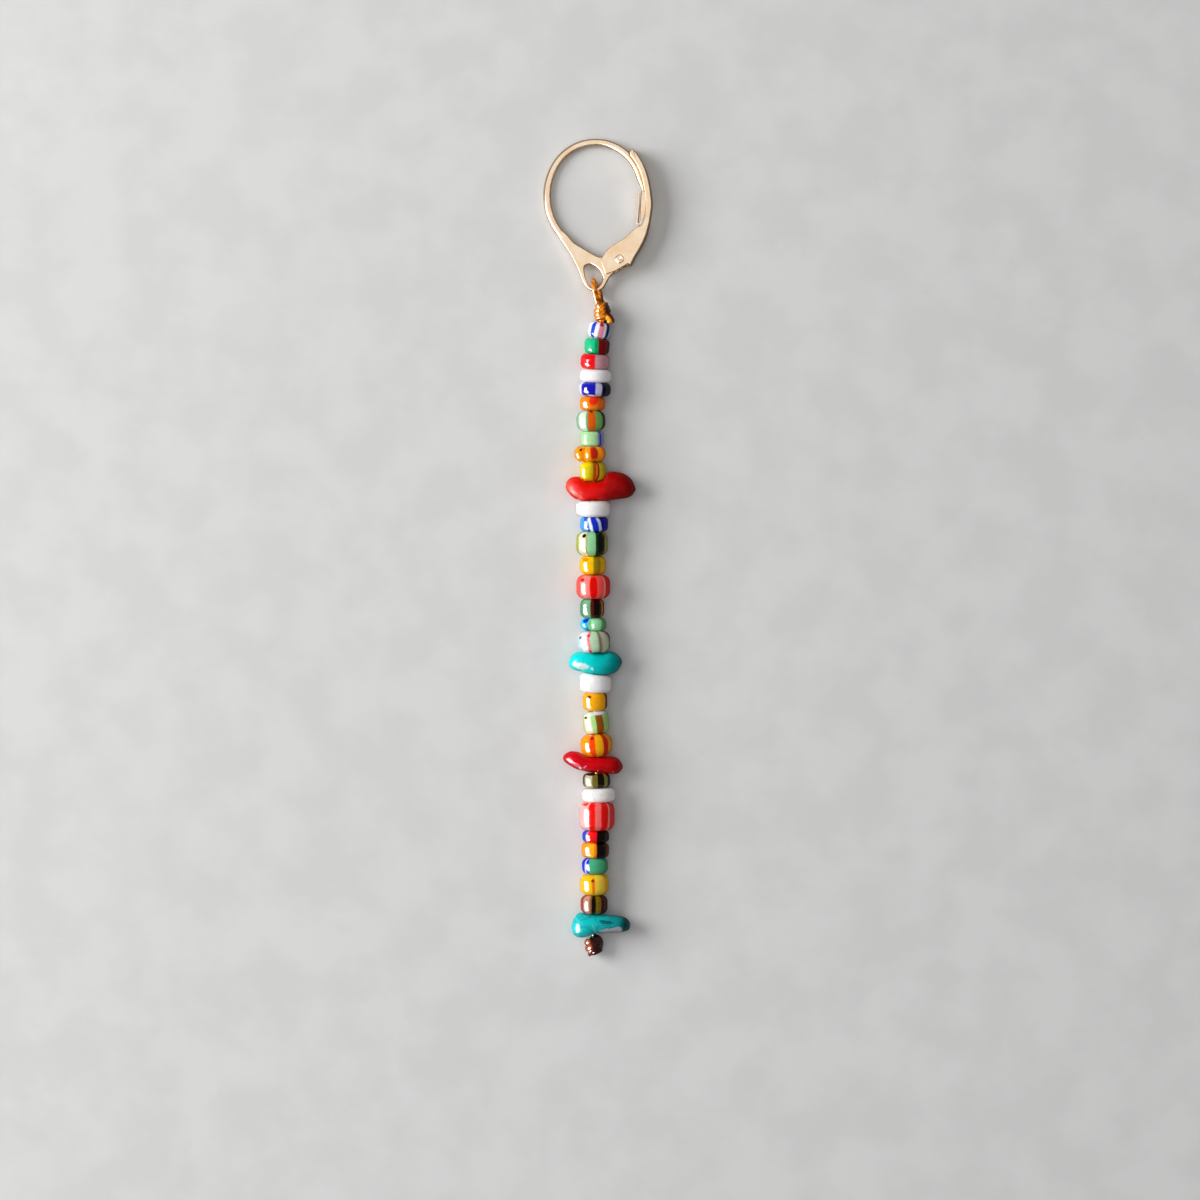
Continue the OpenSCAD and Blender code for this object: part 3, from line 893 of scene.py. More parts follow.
@dataclass
class LeverLatch:
    """The folded lever with its leaf spring and the rivet that it turns on."""

    place: Matrix
    gold: Material
    half_width: float = 0.95
    wall: float = 0.34
    edge: float = 0.09
    merged: float = 0.09
    margins: Pair = (0.012, 0.01)
    spine_drop: float = 0.15
    spine_reach: float = 0.2
    channel_tip: Pair = (1.2, 10.74)
    foot_meets_spine: Pair = (0.776, -0.482)
    back: tuple[Pair, ...] = (
        (1.08, -0.62), (1.5, 0.22), (2.0, 1.04), (2.42, 1.86), (2.72, 2.66), (2.96, 3.6), (3.12, 4.6),
        (3.21, 5.5), (3.12, 6.5), (2.94, 7.6), (2.62, 8.8), (2.2, 9.75), (1.62, 10.7),
    )
    front: tuple[Pair, ...] = (
        (1.27, 11.06), (1.0, 10.72), (1.13, 10.3), (1.54, 9.7), (1.98, 8.9), (2.3, 7.84), (2.5, 6.6),
        (2.58, 5.3), (2.52, 4.3), (2.35, 3.7), (2.1, 3.3), (1.81, 3.21), (1.24, 2.8), (0.58, 2.17),
        (-0.46, 1.51), (-1.0, 1.18), (-1.36, 0.78), (-1.66, 0.32),
    )
    foot: tuple[Pair, ...] = (
        (-1.93, -0.1), (-1.46, -1.44), (-1.3, -1.47), (-0.5, -1.22), (0.54, -0.62),
    )
    free_leaf: tuple[Pair, ...] = ((1.88, 6.6), (1.83, 5.6), (1.76, 4.4))
    fold_at: Pair = (1.885, 3.72)
    fold_radius: float = 0.19
    fold_steps: int = 12
    fold_boxy: float = 0.6
    back_leaf: tuple[Pair, ...] = ((2.13, 3.95), (2.25, 4.5), (2.34, 5.2), (2.38, 6.0), (2.44, 6.8))
    leaf: float = 0.16
    back_swell: float = 0.18
    swell_run: int = 8
    leaf_width: float = 1.0
    leaf_edge: float = 0.045
    lean_in: float = 0.22
    lean_rise: float = 0.2
    lean_most: float = 1.3
    lean_shares: Pair = (0.43, 0.57)
    rivet_radius: float = 0.3
    head_height: float = 0.15
    head_foot: float = 0.45
    head_profile: tuple[Pair, ...] = (
        (0.0, 0.11), (0.08, 0.105), (0.15, 0.07), (0.21, 0.015), (0.26, 0.0), (0.31, 0.0), (0.37, 0.03),
        (0.43, 0.085), (0.46, 0.14),
    )
    head_size: float = 0.96
    head_unround: float = 0.045

    def finish(self, bm: BMesh, name: str, node: str) -> None:
        """Makes a piece that goes with the lever."""
        make_piece(bm, name, node, Rider.LEVER, self.gold, self.place)

    def channel(self) -> None:
        """Folds the lever's channel: two cheeks joined by a rounded spine."""
        steps = 5
        inside = self.half_width - self.wall
        back, front = smooth_line(self.back, steps), smooth_line(self.front, steps)
        bm = bmesh.new()
        raised = [bm.verts.new((p.x, p.y, inside)) for p in back]
        lip = [bm.verts.new((p.x, p.y, inside)) for p in front]
        toe = [bm.verts.new((x, y, inside)) for x, y in self.foot]
        meet = bm.verts.new((*self.foot_meets_spine, inside))
        tip = bm.verts.new((*self.channel_tip, inside))
        inner = [bm.verts.new((p.x, p.y, inside)) for p in beside(back, [self.wall] * len(back))[1:]]
        spine = bm.faces.new([*raised, *lip[: steps + 1], tip, *reversed(inner), meet])
        cheek = bm.faces.new([meet, *inner, tip, *lip[steps:], *toe])
        border = list(spine.edges)
        top = lift_off(bm, [spine, cheek], self.wall - self.edge)
        top = bmesh.ops.dissolve_faces(bm, faces=top)["region"]
        left = [f for f in bm.faces if all(abs(v.co.z - inside) < FLAT for v in f.verts)]
        under = [f for f in left if any(v in f.verts for v in raised)]
        bmesh.ops.delete(bm, geom=under, context="FACES_ONLY")
        down = bmesh.ops.extrude_edge_only(bm, edges=[e for e in border if e.is_valid])["geom"]
        bmesh.ops.translate(bm, verts=picked(down, BMVert), vec=(0, 0, -inside))
        round_over(bm, top, self.edge, self.edge, 4, self.margins[0], even=False)
        round_over(bm, top, self.spine_reach - self.edge, 0.0, 1, self.margins[1], even=False)
        bmesh.ops.remove_doubles(bm, verts=[v for f in top for v in f.verts], dist=self.merged)
        flat = {v for v in bm.verts if v.co.z > self.half_width - FLAT}
        for v in bm.verts:
            if v.co.z > inside + FLAT and v not in flat:
                away = min((v.co.xy - p.xy).length for p in back)
                v.co.z -= self.spine_drop * max(0.0, 1 - away / self.spine_reach) ** 2
        mirror_down(bm)
        self.finish(bm, "lever_channel", "lever")

    def spring(self) -> None:
        """Folds the leaf spring, and breaks its edges."""
        free, back = smooth_line(self.free_leaf), smooth_line(self.back_leaf)
        fold = []
        for i in range(self.fold_steps + 1):
            bend = math.radians(180 + 180 / self.fold_steps * i)
            x, y = (math.copysign(abs(c) ** self.fold_boxy, c) for c in (math.cos(bend), math.sin(bend)))
            x, y = self.fold_at[0] + self.fold_radius * x, self.fold_at[1] + self.fold_radius * y
            fold.append(Vector((x, y, 0)))
        line = [*free, *fold, *back]
        behind = len(line) - len(back)
        halves = [
            self.leaf / 2 + self.back_swell * min(max((i - behind) / self.swell_run, 0.0), 1.0)
            for i in range(len(line))
        ]
        bm = bmesh.new()
        left, right = (
            [bm.verts.new(p) for p in beside(line, [way * half for half in halves])] for way in (1, -1)
        )
        for k in range(len(line) - 1):
            bm.faces.new((left[k], left[k + 1], right[k + 1], right[k]))
        bmesh.ops.translate(bm, verts=bm.verts, vec=(0, 0, -self.leaf_width / 2))
        made = bmesh.ops.extrude_face_region(bm, geom=bm.faces[:], use_keep_orig=True)["geom"]
        bmesh.ops.translate(bm, verts=picked(made, BMVert), vec=(0, 0, self.leaf_width))
        for v in bm.verts:
            if v.co.z < 0:
                side = min(max((v.co.x - self.fold_at[0]) / self.fold_radius, -1.0), 1.0)
                lean = self.lean_in * min(1 + self.lean_rise * (v.co.y - self.fold_at[1]), self.lean_most)
                v.co.x -= side * lean * self.lean_shares[side >= 0]
        bmesh.ops.recalc_face_normals(bm, faces=bm.faces)
        break_edges(bm, [e for e in bm.edges if e.calc_face_angle(0.0) > 1.0], self.leaf_edge)
        self.finish(bm, "leaf_spring", "lever_spring")

    def rivet(self) -> None:
        """Turns the rivet: a shaft with a dimpled head, upset a little out of round, at each end."""
        reach = self.half_width
        high = reach + self.head_height
        bm = bmesh.new()
        row = [bm.verts.new((r, 0, high - drop)) for r, drop in self.head_profile]
        foot = ((self.head_foot, reach), (self.rivet_radius, reach), (self.rivet_radius, 0.0))
        row.extend(bm.verts.new((r, 0, z)) for r, z in foot)
        edges = [bm.edges.new(pair) for pair in zip(row, row[1:], strict=False)]
        bmesh.ops.spin(
            bm, geom=row + edges, cent=(0, 0, 0), axis=(0, 0, 1), angle=2 * math.pi, steps=40, use_merge=True
        )
        mirror_down(bm)
        bmesh.ops.remove_doubles(bm, verts=bm.verts, dist=FLAT)
        for v in bm.verts:
            if v.co.xy.length > self.rivet_radius + FLAT:
                angle = math.atan2(v.co.y, v.co.x)
                v.co.xy *= self.head_size + self.head_unround * math.cos(4 * angle + 0.6)
        self.finish(bm, "lever_rivet", "rivet")

    def build(self) -> None:
        """Builds the lever, its spring and its rivet."""
        self.channel()
        self.spring()
        self.rivet()


@dataclass
class CordWork:
    """The waxed cord: its loop through the ring, the string in the beads, and a knot at each end."""

    amber: Material
    brown: Material
    radius: float = 0.26
    string: tuple[Triple, ...] = (
        (0.36, 22.78, 1.2), (0.12, 21.6, 1.28), (-0.13, 20.1, 1.35), (-0.28, 18.5, 1.47), (-0.3, 17, 1.56),
        (-0.42, 15.6, 1.6), (-0.58, 14.2, 1.6), (-0.67, 12.4, 1.6), (-0.67, 9.8, 1.6), (-0.56, 7.2, 1.6),
        (-0.5, 4, 1.6), (-0.52, 1, 1.6), (-0.54, -3, 1.6), (-0.54, -6.4, 1.6), (-0.42, -9.4, 1.6),
        (-0.3, -13, 1.6), (-0.24, -17, 1.6), (-0.15, -21, 1.6), (-0.05, -24.4, 1.6), (-0.12, -27, 1.6),
        (-0.26, -30, 1.6), (-0.34, -32.6, 1.58), (-0.39, -34.6, 1.5), (-0.42, -36.6, 1.38),
        (-0.43, -38.8, 1.18),
    )
    loop: tuple[Triple, ...] = (
        (-0.06, 24.5, 1.36), (-0.17, 24.9, 1.46), (-0.28, 25.3, 1.6), (-0.36, 25.8, 1.66),
        (-0.42, 26.3, 1.55), (-0.46, 26.6, 1.22), (-0.46, 26.68, 0.9), (-0.38, 26.5, 0.52),
        (-0.2, 26.1, 0.31), (0.06, 25.7, 0.3), (0.2, 25.3, 0.55), (0.25, 24.94, 0.85), (0.28, 24.5, 1.0),
    )
    top_knot_at: Triple = (0.4, 23.62, 1.18)
    top_knot_lean: float = 8.0
    top_core: Triple = (0.5, 0.86, 0.5)
    # A second, small filling under the knot's foot stands in the gap above the first bead; a near-black spot
    # on the cord makes it painted shade.
    shade_filler_offset: Triple = (0.27, -0.92, 0.05)
    shade_filler_size: Triple = (0.34, 0.3, 0.36)
    top_wraps: float = 4.6
    top_winds: Triple = (0.52, 0.62, 0.3)
    top_start: float = 2.4
    top_slant: float = 0.36
    looseness: float = 0.05
    tucked: float = 0.4
    tuck_run: float = 0.3
    pitch: float = 0.37
    cut_end: tuple[Triple, ...] = (
        (0.5, 23.62, 1.35), (0.84, 23.34, 1.56), (1.08, 23.0, 1.72), (1.25, 22.62, 1.82),
    )
    cut_swell: float = 0.68
    end_knot_at: Triple = (-0.43, -39.84, 1.02)
    end_core_off: Triple = (0.19, 0.2, -0.02)
    end_core: Triple = (0.76, 0.94, 0.75)
    end_wind: float = 0.63
    end_radius: float = 0.32
    end_wraps: float = 2.5
    end_reach: float = 66.0
    end_longer: float = 1.12
    end_start: float = 0.6
    end_tilt: float = 36.0
    end_tail: tuple[Triple, ...] = (
        (-0.3, -40.1, 1.62), (-0.62, -40.3, 1.56), (-0.78, -40.52, 1.36), (-0.82, -40.72, 1.14),
    )
    tail_radii: Pair = (0.27, 0.2)

    def lay(self, points: Sequence[Triple], name: str, node: str) -> None:
        """Lays plain amber cord along a curve.

        Args:
            points: The points that the middle of the cord passes through.
            name: The piece's name.
            node: The CAD node that it stands for.
        """
        path = smooth_line(points, 6)
        cord = sweep(path, [self.radius] * len(path))
        make_piece(cord, name, node, Rider.HOOK, self.amber)

    def add_core(self, bm: BMesh, centre: Vector, size: Triple) -> None:
        """Fills a knot's middle, so that nothing shows between its wraps.

        Args:
            bm: The knot's mesh.
            centre: The middle of the filling.
            size: Half its width, length and height.
        """
        grow = Matrix.Translation(centre) @ Matrix.Diagonal((*size, 1.0))
        bmesh.ops.create_uvsphere(bm, u_segments=24, v_segments=14, radius=1.0, matrix=grow)

    def add_tail(self, bm: BMesh, points: Sequence[Triple], start: float, end: float) -> None:
        """Adds a short cut end of cord to a knot.

        Args:
            bm: The knot's mesh.
            points: The middle of the tail.
            start: Its radius where it leaves the knot.
            end: Its radius where it is cut.
        """
        path = smooth_line(points, 6)
        join(bm, sweep(path, [start + (end - start) * i / len(path) for i in range(len(path))], 16))

    def top_knot(self) -> None:
        """Winds the string round itself under the loop, slantwise, with the cut end beside it."""
        steps = 26
        count = int(self.top_wraps * steps)
        lower, middle, upper = self.top_winds
        path, radii = [], []
        for i in range(count + 1):
            turn = 2 * math.pi * i / steps
            share = i / count
            tuck = self.tucked + (1 - self.tucked) * min(i, count - i) / (steps * self.tuck_run)
            wind = (1 - share) ** 2 * lower + 2 * share * (1 - share) * (2 * middle - (lower + upper) / 2)
            wind = min(1.0, tuck) * (wind + share**2 * upper)
            loose = noise.noise_vector(Vector((turn * 0.8, 3.7, 1.9))) * self.looseness
            x = wind * math.cos(turn + self.top_start)
            z = wind * math.sin(turn + self.top_start)
            y = self.pitch * self.top_wraps * (share - 0.5) + self.top_slant * x
            path.append(Vector((x, y, z)) + loose)
            radii.append(self.radius * (0.94 + 0.1 * math.sin(turn * 0.7)))
        lean = Matrix.Rotation(math.radians(self.top_knot_lean), 4, "Z")
        place = Matrix.Translation(self.top_knot_at) @ lean
        bm = sweep([place @ p for p in path], radii, 16)
        self.add_core(bm, Vector(self.top_knot_at), self.top_core)
        # The small second filling is painted shade in the gap above the first bead.
        self.add_core(bm, Vector(self.top_knot_at) + Vector(self.shade_filler_offset), self.shade_filler_size)
        self.add_tail(bm, self.cut_end, self.radius, self.radius * (1 + self.cut_swell))
        make_piece(bm, "wrapped_top_knot", "top_knot", Rider.HOOK, self.amber, crease=60)

    def end_knot(self) -> None:
        """Winds the stopper knot: a ball of a few thick, slanting wraps with its tucked tail."""
        steps = 30
        count = int(steps * self.end_wraps)
        tilt = Matrix.Rotation(math.radians(self.end_tilt), 4, "Z")
        path = []
        for i in range(count + 1):
            turn = 2 * math.pi * i / steps + self.end_start
            rise = math.radians(-self.end_reach + 2 * self.end_reach * i / count)
            wind = self.end_wind * (math.cos(rise) * 0.9 + 0.1)
            y = self.end_wind * math.sin(rise) * self.end_longer
            path.append(tilt @ Vector((wind * math.cos(turn), y, wind * math.sin(turn))))
        place = Matrix.Translation(self.end_knot_at)
        bm = sweep([place @ p for p in path], [self.end_radius] * len(path), 18)
        self.add_core(bm, Vector(self.end_knot_at) + Vector(self.end_core_off), self.end_core)
        self.add_tail(bm, self.end_tail, *self.tail_radii)
        make_piece(bm, "stopper_end_knot", "end_knot", Rider.HOOK, self.brown, crease=60)

    def build(self) -> None:
        """Lays the loop and the string, then ties both knots."""
        self.lay(self.loop, "ring_loop_cord", "cord_loop")
        self.lay(self.string, "string_cord", "thread")
        self.top_knot()
        self.end_knot()


@dataclass
class Bead:
    """One glass bead on the string, spun from its section and a little uneven, as beads are.

    The lobes of a melon bead are petals that stand round its bore.
    """

    node: str
    length: float
    diameter: float
    lean: float
    rim: float
    slot: Slot
    glass: CaneGlass
    lobes: int = 0
    lobe_turn: float = 0.0
    axis_at: Pair | None = None
    bore: float = 0.5
    top_raised: float = 4.0
    wedge: float = 0.0
    closer: float = 0.065
    shift: float = 0.0
    waviness: float = 0.028
    rim_share: float = 0.88
    steps: int = 80

    def section(self) -> list[Pair]:
        """Draws half the bead's outline, as height along the bore and radius.

        Returns:
            The outline's points, from the bore to the bead's middle.
        """
        half, radius = (self.length + self.closer) / 2, self.diameter / 2
        rim = min(self.rim * self.rim_share, half)
        bore = self.bore
        inner = max(radius - rim, bore + 0.2)
        points = [
            (half - 0.1, bore), (half - 0.02, bore + 0.05), (half, bore + 0.14),
            (half, (bore + 0.14 + inner) / 2),
        ]
        for i in range(9):
            angle = math.pi / 2 * i / 8
            points.append((half - rim + rim * math.cos(angle), inner + (radius - inner) * math.sin(angle)))
        flat = half - rim
        points.extend((flat * (1 - k / 5), radius) for k in range(1, 5) if flat > 0.05)
        return points

    def petal(self, angle: float) -> float:
        """Gives the share of the full radius that a melon bead has at an angle.

        Args:
            angle: The angle round the bore.

        Returns:
            The share, which is 1 on the ridge of a lobe and on a bead without any.
        """
        if not self.lobes:
            return 1.0
        centre = 0.64 if self.lobes > 3 else 0.42
        step = 2 * math.pi / self.lobes
        off = (angle + math.radians(self.lobe_turn) + step / 2) % step - step / 2
        reach = (1 - centre) ** 2 - (centre * math.sin(off)) ** 2
        return centre * math.cos(off) + math.sqrt(max(reach, 0.0))

    def build(self) -> None:
        """Spins the bead, gives it its lobes and its unevenness, and dresses it."""
        low, high = (Vector(corner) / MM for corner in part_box(self.node))
        middle = (low + high) / 2 + Vector((0, self.shift, 0))
        if self.axis_at:
            middle.x, middle.z = self.axis_at
        half_row = self.section()
        row = [*half_row, *((-y, r) for y, r in reversed(half_row))]
        bm = bmesh.new()
        verts = [bm.verts.new((-r, y, 0)) for y, r in row]
        edges = [bm.edges.new(pair) for pair in zip(verts, [*verts[1:], verts[0]], strict=True)]
        bmesh.ops.spin(
            bm, geom=verts + edges, cent=(0, 0, 0), axis=(0, 1, 0), angle=2 * math.pi, steps=self.steps,
            use_merge=True,
        )
        bmesh.ops.remove_doubles(bm, verts=bm.verts, dist=FLAT)
        layer = bm.loops.layers.uv.new("UVMap")
        radius = self.diameter / 2
        wedge = math.tan(math.radians(self.wedge))
        across = {}
        for v in bm.verts:
            ring = math.hypot(v.co.x, v.co.z)
            outer = (ring - self.bore) / (radius - self.bore)
            shrink = 1 - (1 - self.petal(math.atan2(v.co.z, v.co.x))) * max(0.0, outer)
            v.co.x *= shrink
            v.co.z *= shrink
            v.co.y *= 1 - 0.6 * (1 - shrink)
            v.co.y -= max(v.co.y, 0.0) / self.length * 2 * wedge * v.co.x
            across[v] = (0.5 + 0.5 * v.co.x / ring, 0.5 - v.co.y / self.length)
            v.co += noise.noise_vector(v.co * 0.7 + middle * 3.1) * self.waviness * max(0.0, outer)
        for face in bm.faces:
            for loop in face.loops:
                loop[layer].uv = across[loop.vert]
        raised = Matrix.Rotation(math.radians(self.top_raised), 4, "X")
        turn = Matrix.Rotation(math.radians(self.lean), 4, "Z") @ raised
        middle.z -= min(min((turn @ v.co).z for v in bm.verts) + middle.z, 0.0)
        make_piece(
            bm, f"glass_{self.node}", self.node, Rider.HOOK, self.glass.material(self.node),
            Matrix.Translation(middle) @ turn, crease=55,
        )


@dataclass
class Chip:
    """A drilled stone chip that lies across the string, drawn from its sections."""

    node: str
    rows: tuple[Triple, ...]
    slot: Slot
    stone: TumbledStone
    bore_at: Pair
    depth: float = 2.9
    bore: float = 0.5
    boxy: float = 0.86
    dent: Triple = (0.04, 0.05, 0.05)
    top_bulge: float = 0.03
    drill_length: float = 6.0

    def edges_at(self, x: float, outline: Sequence[Vector]) -> Pair:
        """Reads the chip's upper and lower edge at one place along it.

        Args:
            x: The place along the chip.
            outline: Place, upper edge and lower edge, in order.

        Returns:
            The upper and the lower edge.
        """
        for a, b in zip(outline, outline[1:], strict=False):
            if x <= b.x + FLAT:
                share = min(max((x - a.x) / max(b.x - a.x, FLAT), 0.0), 1.0)
                return a.y + (b.y - a.y) * share, a.z + (b.z - a.z) * share
        return outline[-1].y, outline[-1].z

    def build(self) -> None:
        """Shapes a ball to the chip's sections, dents it, drills it and dresses it."""
        low, high = (Vector(corner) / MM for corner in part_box(self.node))
        outline = smooth_line(self.rows, 8)
        start, end = outline[0].x, outline[-1].x
        middle = (low.y + high.y - max(row[1] for row in self.rows) - min(row[2] for row in self.rows)) / 2
        upright = Matrix.Rotation(math.pi / 2, 4, "Y")
        bm = bmesh.new()
        bmesh.ops.create_uvsphere(bm, u_segments=56, v_segments=48, radius=1.0, matrix=upright)
        for v in bm.verts:
            ball = v.co.copy()
            share = (ball.x + 1) / 2
            x = start + (end - start) * share
            upper, lower = self.edges_at(x, outline)
            deep = self.depth * max(0.1, math.sqrt(max(1 - abs(2 * share - 1) ** 3, 0.0)))
            ring = math.hypot(ball.y, ball.z)
            side, lift = (ball.y / ring, ball.z / ring) if ring > FLAT else (0.0, 0.0)
            side, lift = (math.copysign(abs(c) ** self.boxy, c) for c in (side, lift))
            y = (upper + lower) / 2 + (upper - lower) / 2 * side
            v.co = Vector((x, middle + y, self.depth / 2 + deep / 2 * lift))
            dent = noise.noise_vector(v.co * 0.9 + Vector((middle, 0, 0)))
            v.co += Vector(a * b for a, b in zip(dent, self.dent, strict=True)) * min(1.0, ring * 2)
            v.co.z = min(max(v.co.z, 0.0), self.depth + self.top_bulge)
        dressed = self.stone.material(self.node, low, high)
        piece = make_piece(bm, f"stone_{self.node}", self.node, Rider.HOOK, dressed, crease=50)
        drill = bmesh.new()
        x, z = self.bore_at
        through = Matrix.Translation((x, middle, z)) @ Matrix.Rotation(math.pi / 2, 4, "X")
        bmesh.ops.create_cone(
            drill, cap_ends=True, segments=32, radius1=self.bore, radius2=self.bore, depth=self.drill_length,
            matrix=through,
        )
        cut_away(piece, drill)


class Reach(Enum):
    """What a panel of light does: it lights matt colour, or shows as a highlight in one kind of piece."""

    COLOUR = "colour"
    GLOSS_OF_GLASS = "gloss_of_glass"
    GLOSS_OF_METAL = "gloss_of_metal"


@dataclass(frozen=True)
class Softbox:
    """An even panel of white light that faces the earring. Its place and size are in metres."""

    name: str
    place: Triple
    size: Pair
    power: float
    reach: Reach = Reach.COLOUR

    def build(self, receivers: Collection | None) -> None:
        """Hangs the panel.

        Args:
            receivers: The pieces that alone get its light, or none where all do.
        """
        lamp = bpy.data.lights.new(self.name, "AREA")
        lamp.shape = "RECTANGLE"
        lamp.size, lamp.size_y = self.size
        lamp.energy = self.power
        panel = stand(self.name, lamp)
        panel.location = self.place
        panel.rotation_euler = (-Vector(self.place)).to_track_quat("-Z", "Y").to_euler()
        panel.visible_camera = False
        panel.visible_diffuse = self.reach is Reach.COLOUR
        panel.visible_glossy = self.reach is not Reach.COLOUR
        if receivers:
            panel.light_linking.receiver_collection = receivers


@dataclass
class Studio:
    """The floor, the light and the camera, which looks straight down as the photograph does."""

    centre: Pair = (0.185, -5.25)
    frame_width: float = 120.0
    focus_height: float = 1.6
    camera_height: float = 500.0
    sensor: float = 36.0
    floor_metres: float = 3.0
    metal_pieces: tuple[str, ...] = ("ear_wire_and_shank", "lever_channel", "leaf_spring", "lever_rivet")
    air: str = "#F2F4F6"
    ambient: float = 0.08
    softboxes: tuple[Softbox, ...] = (
        Softbox("key_softbox", (-0.45, 0.12, 0.3), (0.34, 0.34), 3.2),
        Softbox("overhead_softbox", (0.0, 0.0, 0.9), (1.0, 1.0), 3.4),
        Softbox("gloss_softbox", (-0.48, -0.19, 0.17), (0.42, 0.3), 18.0, Reach.GLOSS_OF_GLASS),
        Softbox("metal_card", (0.1, 0.1, 0.6), (2.4, 2.4), 15.5, Reach.GLOSS_OF_METAL),
        Softbox("metal_window", (-0.42, -0.22, 0.26), (0.6, 0.5), 4.6, Reach.GLOSS_OF_METAL),
    )

    def floor(self) -> None:
        """Lays the plain pale floor."""
        bm = bmesh.new()
        bmesh.ops.create_grid(bm, x_segments=4, y_segments=4, size=self.floor_metres / 2)
        mesh = as_mesh(bm, "studio_floor")
        mesh.materials.append(MattePaper().material())
        stand("studio_floor", mesh)

    def camera(self) -> None:
        """Sets the camera over the middle of the photograph."""
        lens = bpy.data.cameras.new("photo_camera")
        lens.sensor_width = self.sensor
        lens.lens = self.sensor * self.camera_height / self.frame_width
        lens.clip_start, lens.clip_end = 0.01, 10.0
        camera = stand("photo_camera", lens)
        camera.location = Vector((*self.centre, self.focus_height + self.camera_height)) * MM
        bpy.context.scene.camera = camera

    def sky(self) -> None:
        """Gives an even, faint light from all round."""
        world = bpy.data.worlds.new("studio_room")
        world.use_nodes = True
        plug(world.node_tree.nodes["Background"], {"Color": linear(self.air), "Strength": self.ambient})
        bpy.context.scene.world = world

    def build(self) -> None:
        """Builds the whole studio round the earring, which stands already."""
        self.camera()
        self.floor()
        self.sky()
        glossy = (Reach.GLOSS_OF_GLASS, Reach.GLOSS_OF_METAL)
        groups = {reach: bpy.data.collections.new(reach.value) for reach in glossy}
        for piece in bpy.context.scene.objects:
            if piece.type == "MESH":
                metal = piece.name in self.metal_pieces
                groups[Reach.GLOSS_OF_METAL if metal else Reach.GLOSS_OF_GLASS].objects.link(piece)
        for box in self.softboxes:
            box.build(groups.get(box.reach))
        bpy.context.scene.view_settings.view_transform = "Standard"


@dataclass
class BeadString:
    """All the beads and chips, from the top knot down to the end knot."""

    beads: tuple[Bead, ...]
    chips: tuple[Chip, ...]

    def build(self) -> None:
        """Builds every bead and chip."""
        for piece in (*self.beads, *self.chips):
            piece.build()


